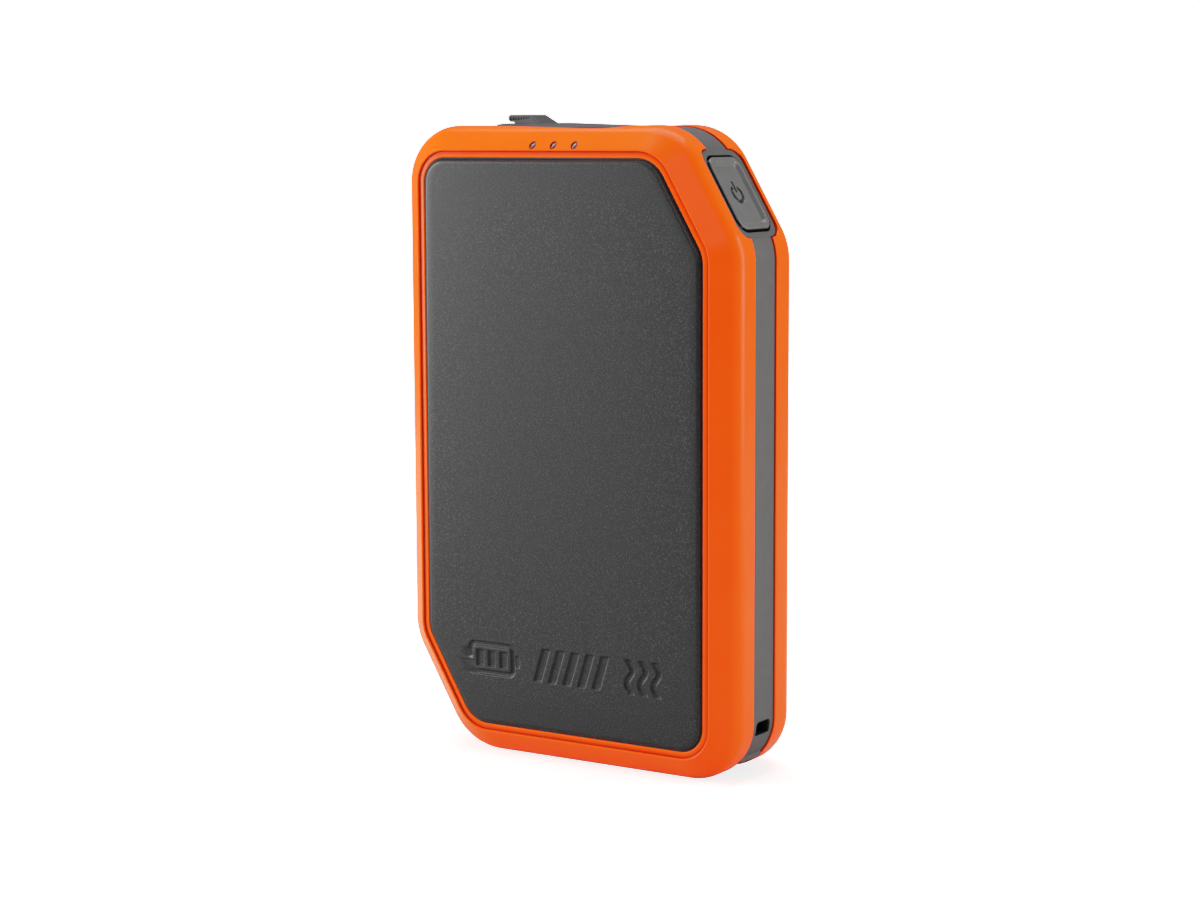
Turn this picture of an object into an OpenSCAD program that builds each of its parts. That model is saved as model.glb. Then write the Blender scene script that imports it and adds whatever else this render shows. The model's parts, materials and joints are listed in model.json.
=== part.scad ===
// Rugged power bank with two warming panels, two bumpers and a covered port bay.
// X runs across the width, the front faces -Y, Z points up.
// The origin is the middle of the base.

/* [Body] */
// Width across the bumpers
body_w = 73.6; // [73:0.2:80]
// Height of the body, without the cover's pull tab
body_h = 120.4; // [120:0.2:130]
// Depth from the middle plane to the face of a panel
panel_face = 13.6; // [13.6:0.1:15]
// Width that each cut corner takes off the top and the base
chamfer_w = 12.7; // [11:0.1:14]
// Height that each cut corner takes off a side
chamfer_h = 21.6; // [20:0.1:24]
// Width of the bumper seen from the front
rim_w = 6.2; // [6:0.1:7]
// Corner radius at the two square corners
square_corner_r = 10.7; // [10.4:0.1:12]
// Corner radius at the ends of a cut corner
cut_corner_r = 12.2; // [11:0.1:14]
// Radius of the bumper's outer edge
edge_r = 4; // [3.5:0.1:4.2]

/* [Middle band] */
// Half of the band's visible width
band_half = 3.7; // [3.5:0.1:4]
// How far the band sits below the bumpers
band_recess = 0.35; // [0.2:0.05:0.5]

/* [Button] */
// Length of the power button along the cut corner
button_l = 15.1; // [13:0.1:15.4]
// Width of the power button
button_w = 11.4; // [10:0.1:11.6]
// How far the power button travels
button_travel = 0.6; // [0.3:0.1:0.7]

/* [Port cover] */
// Left end of the cover
cover_x0 = -20.3; // [-21:0.1:-20]
// Half of the cover's width
cover_half = 4.7; // [4.6:0.1:4.8]
// Height of the pull tab above the body
tab_h = 2; // [1.6:0.1:2.6]

/* [Cells] */
// Radius of a cell in its sleeve
cell_r = 9.2; // [9:0.05:9.3]
// Length of a cell
cell_l = 65; // [64:0.5:65]

/* [Hidden] */
$fn = 64;

// Outline of the body, seen from the front and centred on its middle
half_w = body_w / 2;
half_h = body_h / 2;
cut_angle = atan2(chamfer_w, chamfer_h);
corner_points = [[half_w, -half_h], [half_w, half_h - chamfer_h], [half_w - chamfer_w, half_h],
    [-half_w, half_h], [-half_w, chamfer_h - half_h], [chamfer_w - half_w, -half_h]];
corner_radii = [square_corner_r, cut_corner_r, cut_corner_r,
    square_corner_r, cut_corner_r, cut_corner_r];
edge_angles = [0, cut_angle, 90, 180, 180 + cut_angle, 270];
corner_turns = [90, cut_angle, 90 - cut_angle, 90, cut_angle, 90 - cut_angle];
cut_middle = (corner_points[1] + corner_points[2]) / 2;

// Depths from the middle plane outwards, the same on both sides
panel_t = 1.5;
gasket_t = 0.4;
film_t = 0.3;
panel_back = panel_face - panel_t;
ledge_face = panel_back - gasket_t;
ledge_back = ledge_face - 1.4;
lip_face = panel_face - 0.7;
crest_depth = lip_face + 0.3;
side_depth = 7.5;
seam = 0.1;
film_back = panel_back - film_t;
pad_back = 9.5;

// Distances in from the outer outline
wall_t = 2.2;
panel_gap = 0.25;
panel_roll = 0.8;
panel_in = rim_w;
crest_in = rim_w - 1.6;
cap_inset = 0.02;
lip_in = rim_w - panel_gap;
ledge_in = rim_w + 2.5;
spigot_in = wall_t + seam;
cavity_in = 3.8;
pad_in = 12.6;
spigot_depth = 8.4;

// Screws: places from the middle, radii and depths
screw_points = [[-14, 9.5 - half_h], [20, 9.5 - half_h],
    [-26, half_h - 9.5], [15.2, half_h - 9.5]];
boss_r = 2.4;
screw_r = 1;
screw_head_r = 1.8;
screw_head_t = 1.2;
screw_tip = 7.5;
boss_gap = 0.1;

// Button bay in the cut corner: depths below the corner's face
button_x = 1.65;
button_round = 2.3;
button_proud = 0.3;
button_face = button_proud - band_recess;
moving_gap = 0.35;
bezel_l = 18.2;
bezel_w = 14;
bezel_round = 3;
bezel_t = 2.5;
button_lip = 0.5;
flange_top = bezel_t + 0.35;
flange_t = 0.7;
seat_depth = 5;
seat_wall = 1.2;
seal_t = 0.6;
stem_r = 1.6;
stem_end = 6.3;
plunger_r = 1.7;
plunger_fit = 0.05;
switch_top = 6.9;
switch_h = 3.4;
switch_side = 6.2;
switch_board_t = 1;
dish_in = 1.3;
dish_depth = 0.6;

// Port bay in the top
bay_x0 = cover_x0 - 0.3;
bay_x1 = 11;
bay_half = cover_half + 0.3;
bay_rim = 1;
bay_round = 2.2;
tray_half = 6.4;
tray_top = body_h - 2.25;
tray_bottom = tray_top - 3.8;
hinge_x = 9.3;
hinge_z = body_h - 1.05;
knuckle_r = 1;
pin_r = 0.5;
pin_fit = 0.05;
cover_bottom = body_h - 1.95;
tab_x0 = -18.2;
tab_x1 = -13.05;
tab_foot_x = -10.3;
tab_half = 2.5;
tab_foot_half = 3.4;
tab_lip = 1.3;
usb_a_x = 1;
usb_a_w = 14.5;
usb_a_h = 6.5;
usb_a_l = 13.8;
micro_x = -13.5;
micro_w = 7.6;
micro_h = 2.7;
micro_l = 5.6;
socket_top = tray_top - 0.8;
socket_wall = 0.35;
socket_gap = 0.25;

// Boards
board_t = 1.2;
board_y = usb_a_h / 2;
board_x0 = -30;
board_x1 = 27;
board_step_x = 12.3;
board_z0 = 84;
board_step_z = 91.5;
board_z1 = tray_bottom - 0.15;
micro_y = board_y - micro_h / 2;
led_x = [-6, -1.4, 3.2];
led_z = body_h - 3.65;
led_r = 0.65;
led_hole_r = 0.75;
led_board_depth = 6.7;
led_board_t = 0.8;

// Cells
cell_pitch = 19;
cell_z0 = 15;
cap_h = 0.8;
cap_r = 3.2;
strip_t = 0.2;
strip_half = 3;
cradle_half = 8;
cradle_grip = 7.4;
cradle_floor = 2;
cradle_in = 4.1;
lead_r = 0.7;
valley_x = cell_pitch / 2;
valley_y = 7;

orange = [0.93, 0.42, 0.08];
band_grey = [0.33, 0.33, 0.34];
panel_grey = [0.22, 0.22, 0.23];
rubber_black = [0.06, 0.06, 0.06];
board_green = [0.05, 0.3, 0.16];
steel = [0.72, 0.73, 0.75];

// Corner points: the sharp corner moved in by a distance, and the centre of its arc
function unit(a) = [cos(a), sin(a)];
function before(i) = edge_angles[(i + 5) % 6];
function spread(i) = (unit(before(i)) + unit(edge_angles[i])) / (1 + cos(corner_turns[i]));
function arc_r(i, inset) = max(corner_radii[i] - inset, 0.8);
function arc_centre(i, inset) = corner_points[i] - (inset + arc_r(i, inset)) * spread(i);
function arc_end(i, a, inset) = arc_centre(i, inset) + arc_r(i, inset) * unit(a);
// Points of an arc about a centre, from one angle to another
function arc(c, r, a0, a1, steps) =
    [for (k = [0:steps]) c + r * unit(a0 + (a1 - a0) * k / steps)];

// Stands a shape drawn on the body's outline upright, with its height towards the front
module upright() {
    translate([0, 0, half_h])
        rotate([90, 0, 0])
            children();
}

// Turns what is built for the front to face the rear
module rearward() {
    mirror([0, 1, 0]) children();
}

// Working frame on the cut corner: +Z is outwards and +X runs down along the corner
module at_cut_corner() {
    translate([cut_middle.x, 0, cut_middle.y + half_h])
        rotate([0, 90 - cut_angle, 0])
            children();
}

// The body's outline, moved in by a distance
module outline(inset) {
    ends = [for (i = [0:5]) each [arc_end(i, before(i), inset), arc_end(i, edge_angles[i], inset)]];
    union() {
        polygon(ends);
        for (i = [0:5]) {
            translate(arc_centre(i, inset)) circle(arc_r(i, inset));
        }
    }
}

// A plate with the body's outline, between two depths
module plate(inset, depth0, depth1) {
    translate([0, 0, depth0])
        linear_extrude(depth1 - depth0)
            outline(inset);
}

// Convex cap with the body's outline. Its profile runs from its lowest depth to its highest:
// x is measured from the outer outline, outwards, and y is the depth.
module rounded_cap(profile) {
    hull()
        for (i = [0:5]) {
            translate(arc_centre(i, 0))
                rotate_extrude($fn = 48)
                    polygon(concat([[0, profile[0].y]],
                        [for (p = profile) [corner_radii[i] + p.x, p.y]],
                        [[0, profile[len(profile) - 1].y]]));
        }
}

module rounded_rect(l, w, r) {
    square([l - 2 * r, w], center = true);
    square([l, w - 2 * r], center = true);
    for (sx = [-1, 1], sy = [-1, 1]) {
        translate([sx * (l / 2 - r), sy * (w / 2 - r)]) circle(r);
    }
}

// A rounded block in the cut corner's frame, centred on the button
module button_block(l, w, r, z0, z1) {
    translate([button_x, 0, z0])
        linear_extrude(z1 - z0)
            rounded_rect(l, w, r);
}

// A rounded block in the port bay, between two heights
module bay_block(x0, x1, half, r, z0, z1) {
    translate([(x0 + x1) / 2, 0, z0])
        linear_extrude(z1 - z0)
            rounded_rect(x1 - x0, 2 * half, r);
}

module box(low, high) {
    translate(low) cube(high - low);
}

// A round rod from one point to another
module rod(a, b, r) {
    v = b - a;
    translate(a)
        rotate([0, acos(v.z / norm(v)), atan2(v.y, v.x)])
            cylinder(r = r, h = norm(v));
}

// A wire through a list of points
module wire(points, r) {
    for (i = [1:len(points) - 1]) {
        rod(points[i - 1], points[i], r);
    }
    for (i = [1:len(points) - 2]) {
        translate(points[i]) sphere(r * 1.08);
    }
}

// A bumper before its bays are cut: straight side, rounded edge, bevel and crest outside,
// then from the front the lip, the seat for the panel and the ledge that carries it
module bumper_ring() {
    difference() {
        union() {
            plate(0, band_half + seam, side_depth);
            rounded_cap(concat(
                arc([-edge_r - cap_inset, side_depth], edge_r, 0, 49, 7),
                [[-crest_in, crest_depth]]));
        }
        plate(wall_t, 0, spigot_depth + seam);
        plate(cavity_in, spigot_depth - 1, ledge_back);
        plate(ledge_in, ledge_back - 1, ledge_face + 1);
        plate(lip_in, ledge_face, panel_face + 1);
        plate(crest_in + 0.3, lip_face, panel_face + 1);
    }
}

module screw_places() {
    for (p = screw_points) {
        translate(p) children();
    }
}

// Openings that the button bay and the port bay take out of both bumpers
module bay_cuts() {
    at_cut_corner() button_block(bezel_l + 0.1, bezel_w + 0.1, bezel_round, -9, 2);
    bay_block(bay_x0 - bay_rim - seam, bay_x1 + bay_rim + seam, bay_half + bay_rim + seam,
        bay_round + bay_rim, tray_top - 2, body_h + 2);
}

module bumper_shell() {
    difference() {
        upright() {
            bumper_ring();
            screw_places()
                translate([0, 0, boss_gap])
                    cylinder(r = boss_r, h = ledge_face - boss_gap);
        }
        bay_cuts();
    }
}

module front_bumper() {
    color(orange)
        difference() {
            bumper_shell();
            upright() {
                screw_places() cylinder(r = screw_r + 0.05, h = screw_tip + 0.5);
                for (x = led_x) {
                    translate([x, led_z - half_h, 0]) cylinder(r = led_hole_r, h = 20);
                }
            }
        }
}

module rear_bumper() {
    color(orange)
        difference() {
            rearward() bumper_shell();
            rearward() upright() screw_places() {
                cylinder(r = screw_r + 0.1, h = panel_face);
                translate([0, 0, ledge_face - screw_head_t - 0.2])
                    cylinder(r = screw_head_r + 0.1, h = 2);
            }
        }
}

// Band, the inner wall that both bumpers slide over, button seat and port tray
module mid_frame() {
    color(band_grey)
        difference() {
            union() {
                difference() {
                    upright() {
                        plate(band_recess, -band_half, band_half);
                        plate(spigot_in, -spigot_depth, spigot_depth);
                    }
                    upright() plate(cavity_in, -spigot_depth - 1, spigot_depth + 1);
                    box([bay_x0 - 3, -10, tray_bottom - 5], [bay_x1 + 3, 10, body_h + 1]);
                }
                box([bay_x0 - 3.2, -tray_half, tray_bottom], [bay_x1 + 3.2, tray_half, tray_top]);
                box([bay_x0 - 3.2, -band_half, tray_top - 0.5],
                    [bay_x1 + 3.2, band_half, body_h - band_recess]);
                bay_block(bay_x0 - bay_rim, bay_x1 + bay_rim, bay_half + bay_rim,
                    bay_round + bay_rim, tray_top - 0.5, body_h - 0.05);
                at_cut_corner() {
                    button_block(bezel_l, bezel_w, bezel_round, -bezel_t - 0.2, -band_recess);
                    button_block(button_l + 2 * (moving_gap + button_lip + seat_wall),
                        button_w + 2 * (moving_gap + button_lip + seat_wall), 3,
                        -seat_depth, -bezel_t);
                }
                lanyard_corner();
            }
            button_bore();
            port_openings();
            lanyard_tunnel();
        }
}

// What the button bay leaves open: the button's hole, its flange's pocket and the way inside
module button_bore() {
    at_cut_corner() {
        button_block(button_l + 2 * moving_gap, button_w + 2 * moving_gap, button_round + moving_gap,
            -bezel_t - 1, 1);
        button_block(button_l + 2 * (moving_gap + button_lip), button_w + 2 * (moving_gap + button_lip),
            button_round + 0.5, -20, -bezel_t);
    }
}

module port_openings() {
    bay_block(bay_x0, bay_x1, bay_half, bay_round, tray_top, body_h + 1);
    box([hinge_x - 2, -bay_half, tray_top], [bay_x1, bay_half, body_h + 1]);
    box([usb_a_x - usb_a_w / 2 - socket_gap, -usb_a_h / 2 - socket_gap, tray_bottom - 1],
        [usb_a_x + usb_a_w / 2 + socket_gap, usb_a_h / 2 + socket_gap, tray_top + 1]);
    box([micro_x - micro_w / 2 - socket_gap, micro_y - micro_h / 2 - socket_gap, tray_bottom - 1],
        [micro_x + micro_w / 2 + socket_gap, micro_y + micro_h / 2 + socket_gap, tray_top + 1]);
    translate([hinge_x, 0, hinge_z])
        rotate([90, 0, 0])
            cylinder(r = pin_r, h = 2 * (bay_half + 0.7), center = true);
}

// Strap tunnel around the square corner at the lower right
lanyard_z = 8;
lanyard_h = 2.6;
lanyard_half = 2.6;
lanyard_x = half_w - 9.2;

module lanyard_corner() {
    intersection() {
        box([lanyard_x - 1.4, -band_half, 0.5], [half_w - 1, band_half, lanyard_z + lanyard_h + 1.4]);
        upright() plate(spigot_in - 0.2, -band_half, band_half);
    }
}

module lanyard_tunnel() {
    box([lanyard_x, -lanyard_half, lanyard_z], [half_w + 1, lanyard_half, lanyard_z + lanyard_h]);
    box([lanyard_x, -lanyard_half, -1], [lanyard_x + lanyard_h, lanyard_half, lanyard_z + 1]);
}

module panel() {
    upright() {
        plate(panel_in, panel_back, panel_face - panel_roll);
        plate(panel_in + panel_roll, panel_back, panel_face);
        rounded_cap(arc([-panel_in - panel_roll, panel_face - panel_roll - cap_inset],
            panel_roll - cap_inset, 0, 90, 6));
    }
}

module front_panel() {
    color(panel_grey) panel();
}

module rear_panel() {
    color(panel_grey) rearward() panel();
}

// Foam seal under a panel's edge, with a thin lip that fills the gap around it
module gasket() {
    upright()
        difference() {
            plate(lip_in + 0.02, ledge_face, panel_back + 0.6);
            plate(ledge_in, 0, panel_back + 1);
            plate(panel_in, panel_back, panel_face);
        }
}

module front_gasket() {
    color(rubber_black) gasket();
}

module rear_gasket() {
    color(rubber_black) rearward() gasket();
}

// Heating film behind a panel, with a flat tail that folds in to the main board
module heater_film(tail_end) {
    upright() plate(pad_in, film_back, panel_back);
    box([-23, -panel_back, body_h - pad_in], [-19, -tail_end, body_h - pad_in + 0.3]);
}

module front_heater_film() {
    color([0.8, 0.45, 0.1]) heater_film(-board_y + 0.05);
}

module rear_heater_film() {
    color([0.8, 0.45, 0.1]) rearward() heater_film(board_y + board_t + 0.05);
}

module insulation_pad() {
    upright() plate(pad_in, pad_back, film_back);
}

module front_insulation_pad() {
    color([0.85, 0.85, 0.8]) insulation_pad();
}

module rear_insulation_pad() {
    color([0.85, 0.85, 0.8]) rearward() insulation_pad();
}

module frame_screws() {
    head_face = ledge_face - 0.2;
    color(steel)
        rearward() upright() screw_places() {
            difference() {
                translate([0, 0, head_face - screw_head_t]) cylinder(r = screw_head_r, h = screw_head_t);
                translate([0, 0, head_face - 0.6])
                    linear_extrude(1) {
                        square([0.5, 2.2], center = true);
                        square([2.2, 0.5], center = true);
                    }
            }
            translate([0, 0, -screw_tip])
                cylinder(r = screw_r, h = screw_tip + head_face - screw_head_t);
        }
}

// One cell, standing with its raised terminal up
module cell(x) {
    translate([x, 0, cell_z0]) {
        cylinder(r = cell_r, h = cell_l - cap_h);
        translate([0, 0, cell_l - cap_h - 0.1]) cylinder(r = cap_r, h = cap_h + 0.1);
    }
}

module cell_left() {
    color([0.1, 0.35, 0.6]) cell(-cell_pitch);
}

module cell_middle() {
    color([0.1, 0.35, 0.6]) cell(0);
}

module cell_right() {
    color([0.1, 0.35, 0.6]) cell(cell_pitch);
}

// Frame that holds one end of the three cells: z0 to z1, with its floor at one end
module cradle(z0, z1, bore_z0, bore_z1, strip_z0) {
    difference() {
        intersection() {
            box([-half_w, -cradle_half, z0], [half_w, cradle_half, z1]);
            upright() plate(cradle_in, -cradle_half, cradle_half);
            box([-29.6, -20, 0], [29.6, 20, body_h]);
        }
        for (x = [-cell_pitch, 0, cell_pitch]) {
            translate([x, 0, bore_z0]) cylinder(r = cell_r + 0.1, h = bore_z1 - bore_z0);
            translate([x, 0, z0 - 1]) cylinder(r = 5, h = z1 - z0 + 2);
        }
        box([-cell_pitch - 4, -strip_half - 0.3, strip_z0],
            [cell_pitch + 4, strip_half + 0.3, strip_z0 + 2 * strip_t]);
        for (sx = [-1, 1], sy = [-1, 1]) {
            translate([sx * valley_x, sy * (valley_y + 1), z0 - 1])
                linear_extrude(z1 - z0 + 2)
                    square([2.4, 4.2], center = true);
        }
    }
}

module lower_cell_cradle() {
    floor_top = cell_z0 - 2 * strip_t;
    color([0.15, 0.15, 0.16])
        cradle(floor_top - cradle_floor, floor_top + cradle_grip, floor_top, body_h, floor_top);
}

module upper_cell_cradle() {
    floor_bottom = cell_z0 + cell_l + 2 * strip_t;
    color([0.15, 0.15, 0.16])
        cradle(floor_bottom - cradle_grip, floor_bottom + cradle_floor, 0, floor_bottom,
            floor_bottom - 2 * strip_t);
}

module nickel_strip(z) {
    color(steel) box([-cell_pitch - 3.5, -strip_half, z], [cell_pitch + 3.5, strip_half, z + strip_t]);
}

module lower_nickel_strip() {
    nickel_strip(cell_z0 - strip_t);
}

module upper_nickel_strip() {
    nickel_strip(cell_z0 + cell_l);
}

module positive_lead() {
    top = cell_z0 + cell_l + strip_t;
    color([0.75, 0.05, 0.05])
        wire([[-cell_pitch, 0, top], [-cell_pitch, 0, top + 3],
            [-cell_pitch, board_y - 0.8, top + 6], [-cell_pitch, board_y - 0.8, top + 9]], lead_r);
}

// Runs from the protection board up the valley behind two cells to the main board
module negative_lead() {
    color([0.08, 0.08, 0.08])
        wire([[valley_x, 2.9, 8], [valley_x, valley_y, 11], [valley_x, valley_y, 86],
            [valley_x, board_y + board_t + 0.8, 88]], lead_r);
}

// Cell protection circuit, in the base
pcm_x0 = -9;
pcm_x1 = 14;
pcm_y = 1.2;
pcm_z0 = 4.4;
pcm_z1 = 11.8;
pcm_t = 0.8;

module protection_board() {
    color(board_green) box([pcm_x0, pcm_y, pcm_z0], [pcm_x1, pcm_y + pcm_t, pcm_z1]);
}

module protection_chips() {
    color(rubber_black) {
        for (x = [pcm_x0 + 2, pcm_x0 + 9, pcm_x0 + 16]) {
            box([x, pcm_y - 1, pcm_z0 + 1.8], [x + 4.4, pcm_y, pcm_z0 + 5]);
        }
    }
}

// Temperature bead in the valley in front of two cells, with its pair of wires
module thermistor() {
    color([0.12, 0.1, 0.08]) translate([valley_x, -valley_y, 60]) sphere(r = 1.2);
    color([0.12, 0.1, 0.08]) {
        for (dx = [-0.5, 0.5]) {
            wire([[valley_x + dx, -valley_y, 60], [valley_x + dx, -valley_y, 85],
                [valley_x + dx, board_y - 0.4, 89]], 0.3);
        }
    }
}

module main_board() {
    color(board_green)
        difference() {
            translate([0, board_y + board_t, 0])
                rotate([90, 0, 0])
                    linear_extrude(board_t)
                        polygon([[board_x0, board_z0], [board_x1, board_z0],
                            [board_x1, board_step_z], [board_step_x, board_step_z],
                            [board_step_x, board_z1], [board_x0 + 6, board_z1],
                            [board_x0, board_z1 - 6]]);
            upright() screw_places() cylinder(r = boss_r + 0.4, h = 40, center = true);
            for (sx = [-28, 25]) {
                translate([sx, 0, board_z0 + 3.5])
                    rotate([90, 0, 0])
                        cylinder(r = 1.1, h = 40, center = true);
            }
        }
}

// A socket's metal tube, open at the top
module socket_shell(x, y, w, h, l) {
    color(steel)
        difference() {
            box([x - w / 2, y - h / 2, socket_top - l], [x + w / 2, y + h / 2, socket_top]);
            box([x - w / 2 + socket_wall, y - h / 2 + socket_wall, socket_top - l + socket_wall],
                [x + w / 2 - socket_wall, y + h / 2 - socket_wall, socket_top + 1]);
        }
}

module usb_a_shell() {
    socket_shell(usb_a_x, 0, usb_a_w, usb_a_h, usb_a_l);
}

module usb_a_tongue() {
    floor_z = socket_top - usb_a_l + socket_wall;
    color([0.85, 0.86, 0.88]) {
        box([usb_a_x - 6.7, -2.8, floor_z], [usb_a_x + 6.7, 2.8, floor_z + 2]);
        box([usb_a_x - 5.5, 0.5, floor_z + 1], [usb_a_x + 5.5, 2.3, socket_top - 2.2]);
    }
}

module micro_usb_shell() {
    socket_shell(micro_x, micro_y, micro_w, micro_h, micro_l);
}

module micro_usb_tongue() {
    floor_z = socket_top - micro_l + socket_wall;
    color(rubber_black) {
        box([micro_x - 3.3, micro_y - 0.9, floor_z], [micro_x + 3.3, micro_y + 0.9, floor_z + 1]);
        box([micro_x - 1.9, micro_y + 0.1, floor_z + 0.5], [micro_x + 1.9, micro_y + 0.7, socket_top - 1]);
    }
}

// Places a part on the front of the main board: x and z of its middle
module on_board(x, z) {
    translate([x, board_y, z])
        rotate([90, 0, 0])
            children();
}

module power_inductor() {
    color([0.2, 0.2, 0.21])
        on_board(-10, 94) {
            linear_extrude(3.8) rounded_rect(10, 10, 1.6);
            translate([0, 0, 3.7]) cylinder(r = 3.9, h = 0.5);
        }
}

module controller_chips() {
    color([0.1, 0.1, 0.11]) {
        on_board(-23, 94) translate([-3, -3, 0]) cube([6, 6, 0.9]);
        on_board(-23.5, 102) translate([-2, -2.5, 0]) cube([4, 5, 1]);
        on_board(20, 87.5) translate([-2, -2, 0]) cube([4, 4, 1]);
    }
}

module capacitors() {
    color([0.7, 0.7, 0.72])
        for (p = [[2, 89], [8.6, 96]]) {
            on_board(p.x, p.y) {
                linear_extrude(0.8) rounded_rect(6.2, 6.2, 1);
                translate([0, 0, 0.7]) cylinder(r = 2.9, h = 5);
            }
        }
}

// Small board for the three lamps, just inside the front bumper's top
module indicator_board() {
    color(board_green)
        box([led_x[0] - 3, -led_board_depth - led_board_t, led_z - 9],
            [led_x[2] + 3, -led_board_depth, led_z + 0.9]);
}

module indicator_leds() {
    color([0.95, 0.95, 0.85])
        for (x = led_x) {
            box([x - 0.8, -led_board_depth - led_board_t - 0.6, led_z - 0.4],
                [x + 0.8, -led_board_depth - led_board_t, led_z + 0.4]);
        }
}

module light_pipes() {
    back = led_board_depth + led_board_t + 0.7;
    color([0.75, 0.7, 0.8])
        for (x = led_x) {
            translate([x, -back, led_z])
                rotate([90, 0, 0]) {
                    cylinder(r = led_r, h = 4.15);
                    cylinder(r = led_hole_r + 0.2, h = spigot_depth + seam - back - 0.05);
                }
        }
}

// Standby mark: an open ring with a bar through its gap
module standby_mark() {
    difference() {
        circle(1.75);
        circle(1.35);
        translate([-1.5, 0]) square([1.6, 1.3], center = true);
    }
    translate([-1.5, 0]) square([2, 0.4], center = true);
}

module button_cap() {
    color([0.42, 0.42, 0.44])
        at_cut_corner() {
            difference() {
                union() {
                    button_block(button_l, button_w, button_round, -flange_top - 0.2, button_face);
                    button_block(button_l + 2 * moving_gap + 0.35, button_w + 2 * moving_gap + 0.35,
                        button_round + 0.4, -flange_top - flange_t, -flange_top);
                    translate([button_x, 0, -stem_end]) cylinder(r = stem_r, h = stem_end - 2);
                }
                button_block(button_l - 2 * dish_in, button_w - 2 * dish_in, 1.2,
                    button_face - dish_depth, button_face + 1);
                translate([button_x, 0, button_face - dish_depth - 0.25])
                    linear_extrude(1)
                        standby_mark();
            }
        }
}

// Rubber sheet that closes the button's pocket, with a hole for the stem
module button_seal() {
    color(rubber_black)
        at_cut_corner()
            difference() {
                button_block(button_l + 3.6, button_w + 3.6, 2.4, -seat_depth - seal_t, -seat_depth);
                translate([button_x, 0, -seat_depth - 1]) cylinder(r = stem_r + 0.3, h = 2);
            }
}

module switch_plunger() {
    color([0.1, 0.1, 0.1])
        at_cut_corner()
            translate([button_x, 0, -switch_top - 2])
                cylinder(r = plunger_r, h = switch_top + 2 - stem_end - 0.02);
}

module switch_body() {
    color(steel)
        at_cut_corner()
            difference() {
                translate([button_x - switch_side / 2, -switch_side / 2, -switch_top - switch_h])
                    cube([switch_side, switch_side, switch_h]);
                translate([button_x, 0, -switch_top - 2 - button_travel - 0.1])
                    cylinder(r = plunger_r + plunger_fit, h = 6);
            }
}

module switch_board() {
    color(board_green)
        at_cut_corner()
            button_block(14, 11, 1, -switch_top - switch_h - switch_board_t, -switch_top - switch_h);
}

// Pull tab between two heights: a ramp on the right, drafted sides, and a lip on the left
module pull_tab(z0, z1) {
    lip_z = z1 - tab_lip;
    intersection() {
        rotate([90, 0, 0])
            linear_extrude(2 * tab_foot_half, center = true)
                polygon([[tab_foot_x, z0], [tab_x1, z1], [tab_x0 + 0.4, z1], [tab_x0, z1 - 0.4],
                    [tab_x0, lip_z + 0.3], [tab_x0 + 0.3, lip_z], [tab_x0 + 1.2, lip_z],
                    [tab_x0 + 1.6, z0]]);
        rotate([90, 0, 90])
            linear_extrude(60, center = true)
                polygon([[-tab_foot_half, z0], [tab_foot_half, z0], [tab_half, z1],
                    [-tab_half, z1]]);
    }
}

// Cover over the sockets: flap, pull tab, two plugs and the hinge knuckle
module port_cover() {
    crown = body_h + 0.45;
    color([0.26, 0.26, 0.27])
        difference() {
            union() {
                intersection() {
                    rotate([90, 0, 0])
                        linear_extrude(2 * cover_half, center = true)
                            polygon([[cover_x0, cover_bottom], [hinge_x, cover_bottom],
                                [hinge_x, hinge_z + knuckle_r], [-6, crown],
                                [cover_x0 + 1.2, crown], [cover_x0, body_h + 0.1]]);
                    bay_block(cover_x0, hinge_x + 4, cover_half, bay_round - 0.3, 0, body_h + 9);
                }
                pull_tab(crown - 0.2, body_h + tab_h);
                translate([hinge_x, 0, hinge_z])
                    rotate([90, 0, 0])
                        cylinder(r = knuckle_r, h = 2 * cover_half, center = true);
                box([usb_a_x - 5.2, -1.6, cover_bottom - 1.9], [usb_a_x + 5.4, 0.3, cover_bottom + 0.2]);
                box([micro_x - 2.9, micro_y - 0.8, cover_bottom - 1.1],
                    [micro_x + 2.9, micro_y + 0.8, cover_bottom + 0.2]);
            }
            translate([hinge_x, 0, hinge_z])
                rotate([90, 0, 0])
                    cylinder(r = pin_r + pin_fit, h = 2 * cover_half + 1, center = true);
        }
}

module cover_hinge_pin() {
    color(steel)
        translate([hinge_x, 0, hinge_z])
            rotate([90, 0, 0])
                cylinder(r = pin_r, h = 2 * (bay_half + 0.6), center = true);
}

front_bumper();
rear_bumper();
mid_frame();
front_panel();
rear_panel();
front_gasket();
rear_gasket();
front_heater_film();
rear_heater_film();
front_insulation_pad();
rear_insulation_pad();
frame_screws();
cell_left();
cell_middle();
cell_right();
lower_cell_cradle();
upper_cell_cradle();
lower_nickel_strip();
upper_nickel_strip();
positive_lead();
negative_lead();
protection_board();
protection_chips();
thermistor();
main_board();
usb_a_shell();
usb_a_tongue();
micro_usb_shell();
micro_usb_tongue();
power_inductor();
controller_chips();
capacitors();
indicator_board();
indicator_leds();
light_pipes();
button_cap();
button_seal();
switch_plunger();
switch_body();
switch_board();
port_cover();
cover_hinge_pin();
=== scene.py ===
import json
import math

import bmesh
import bpy
import numpy as np
from mathutils import Matrix, Vector


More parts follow.
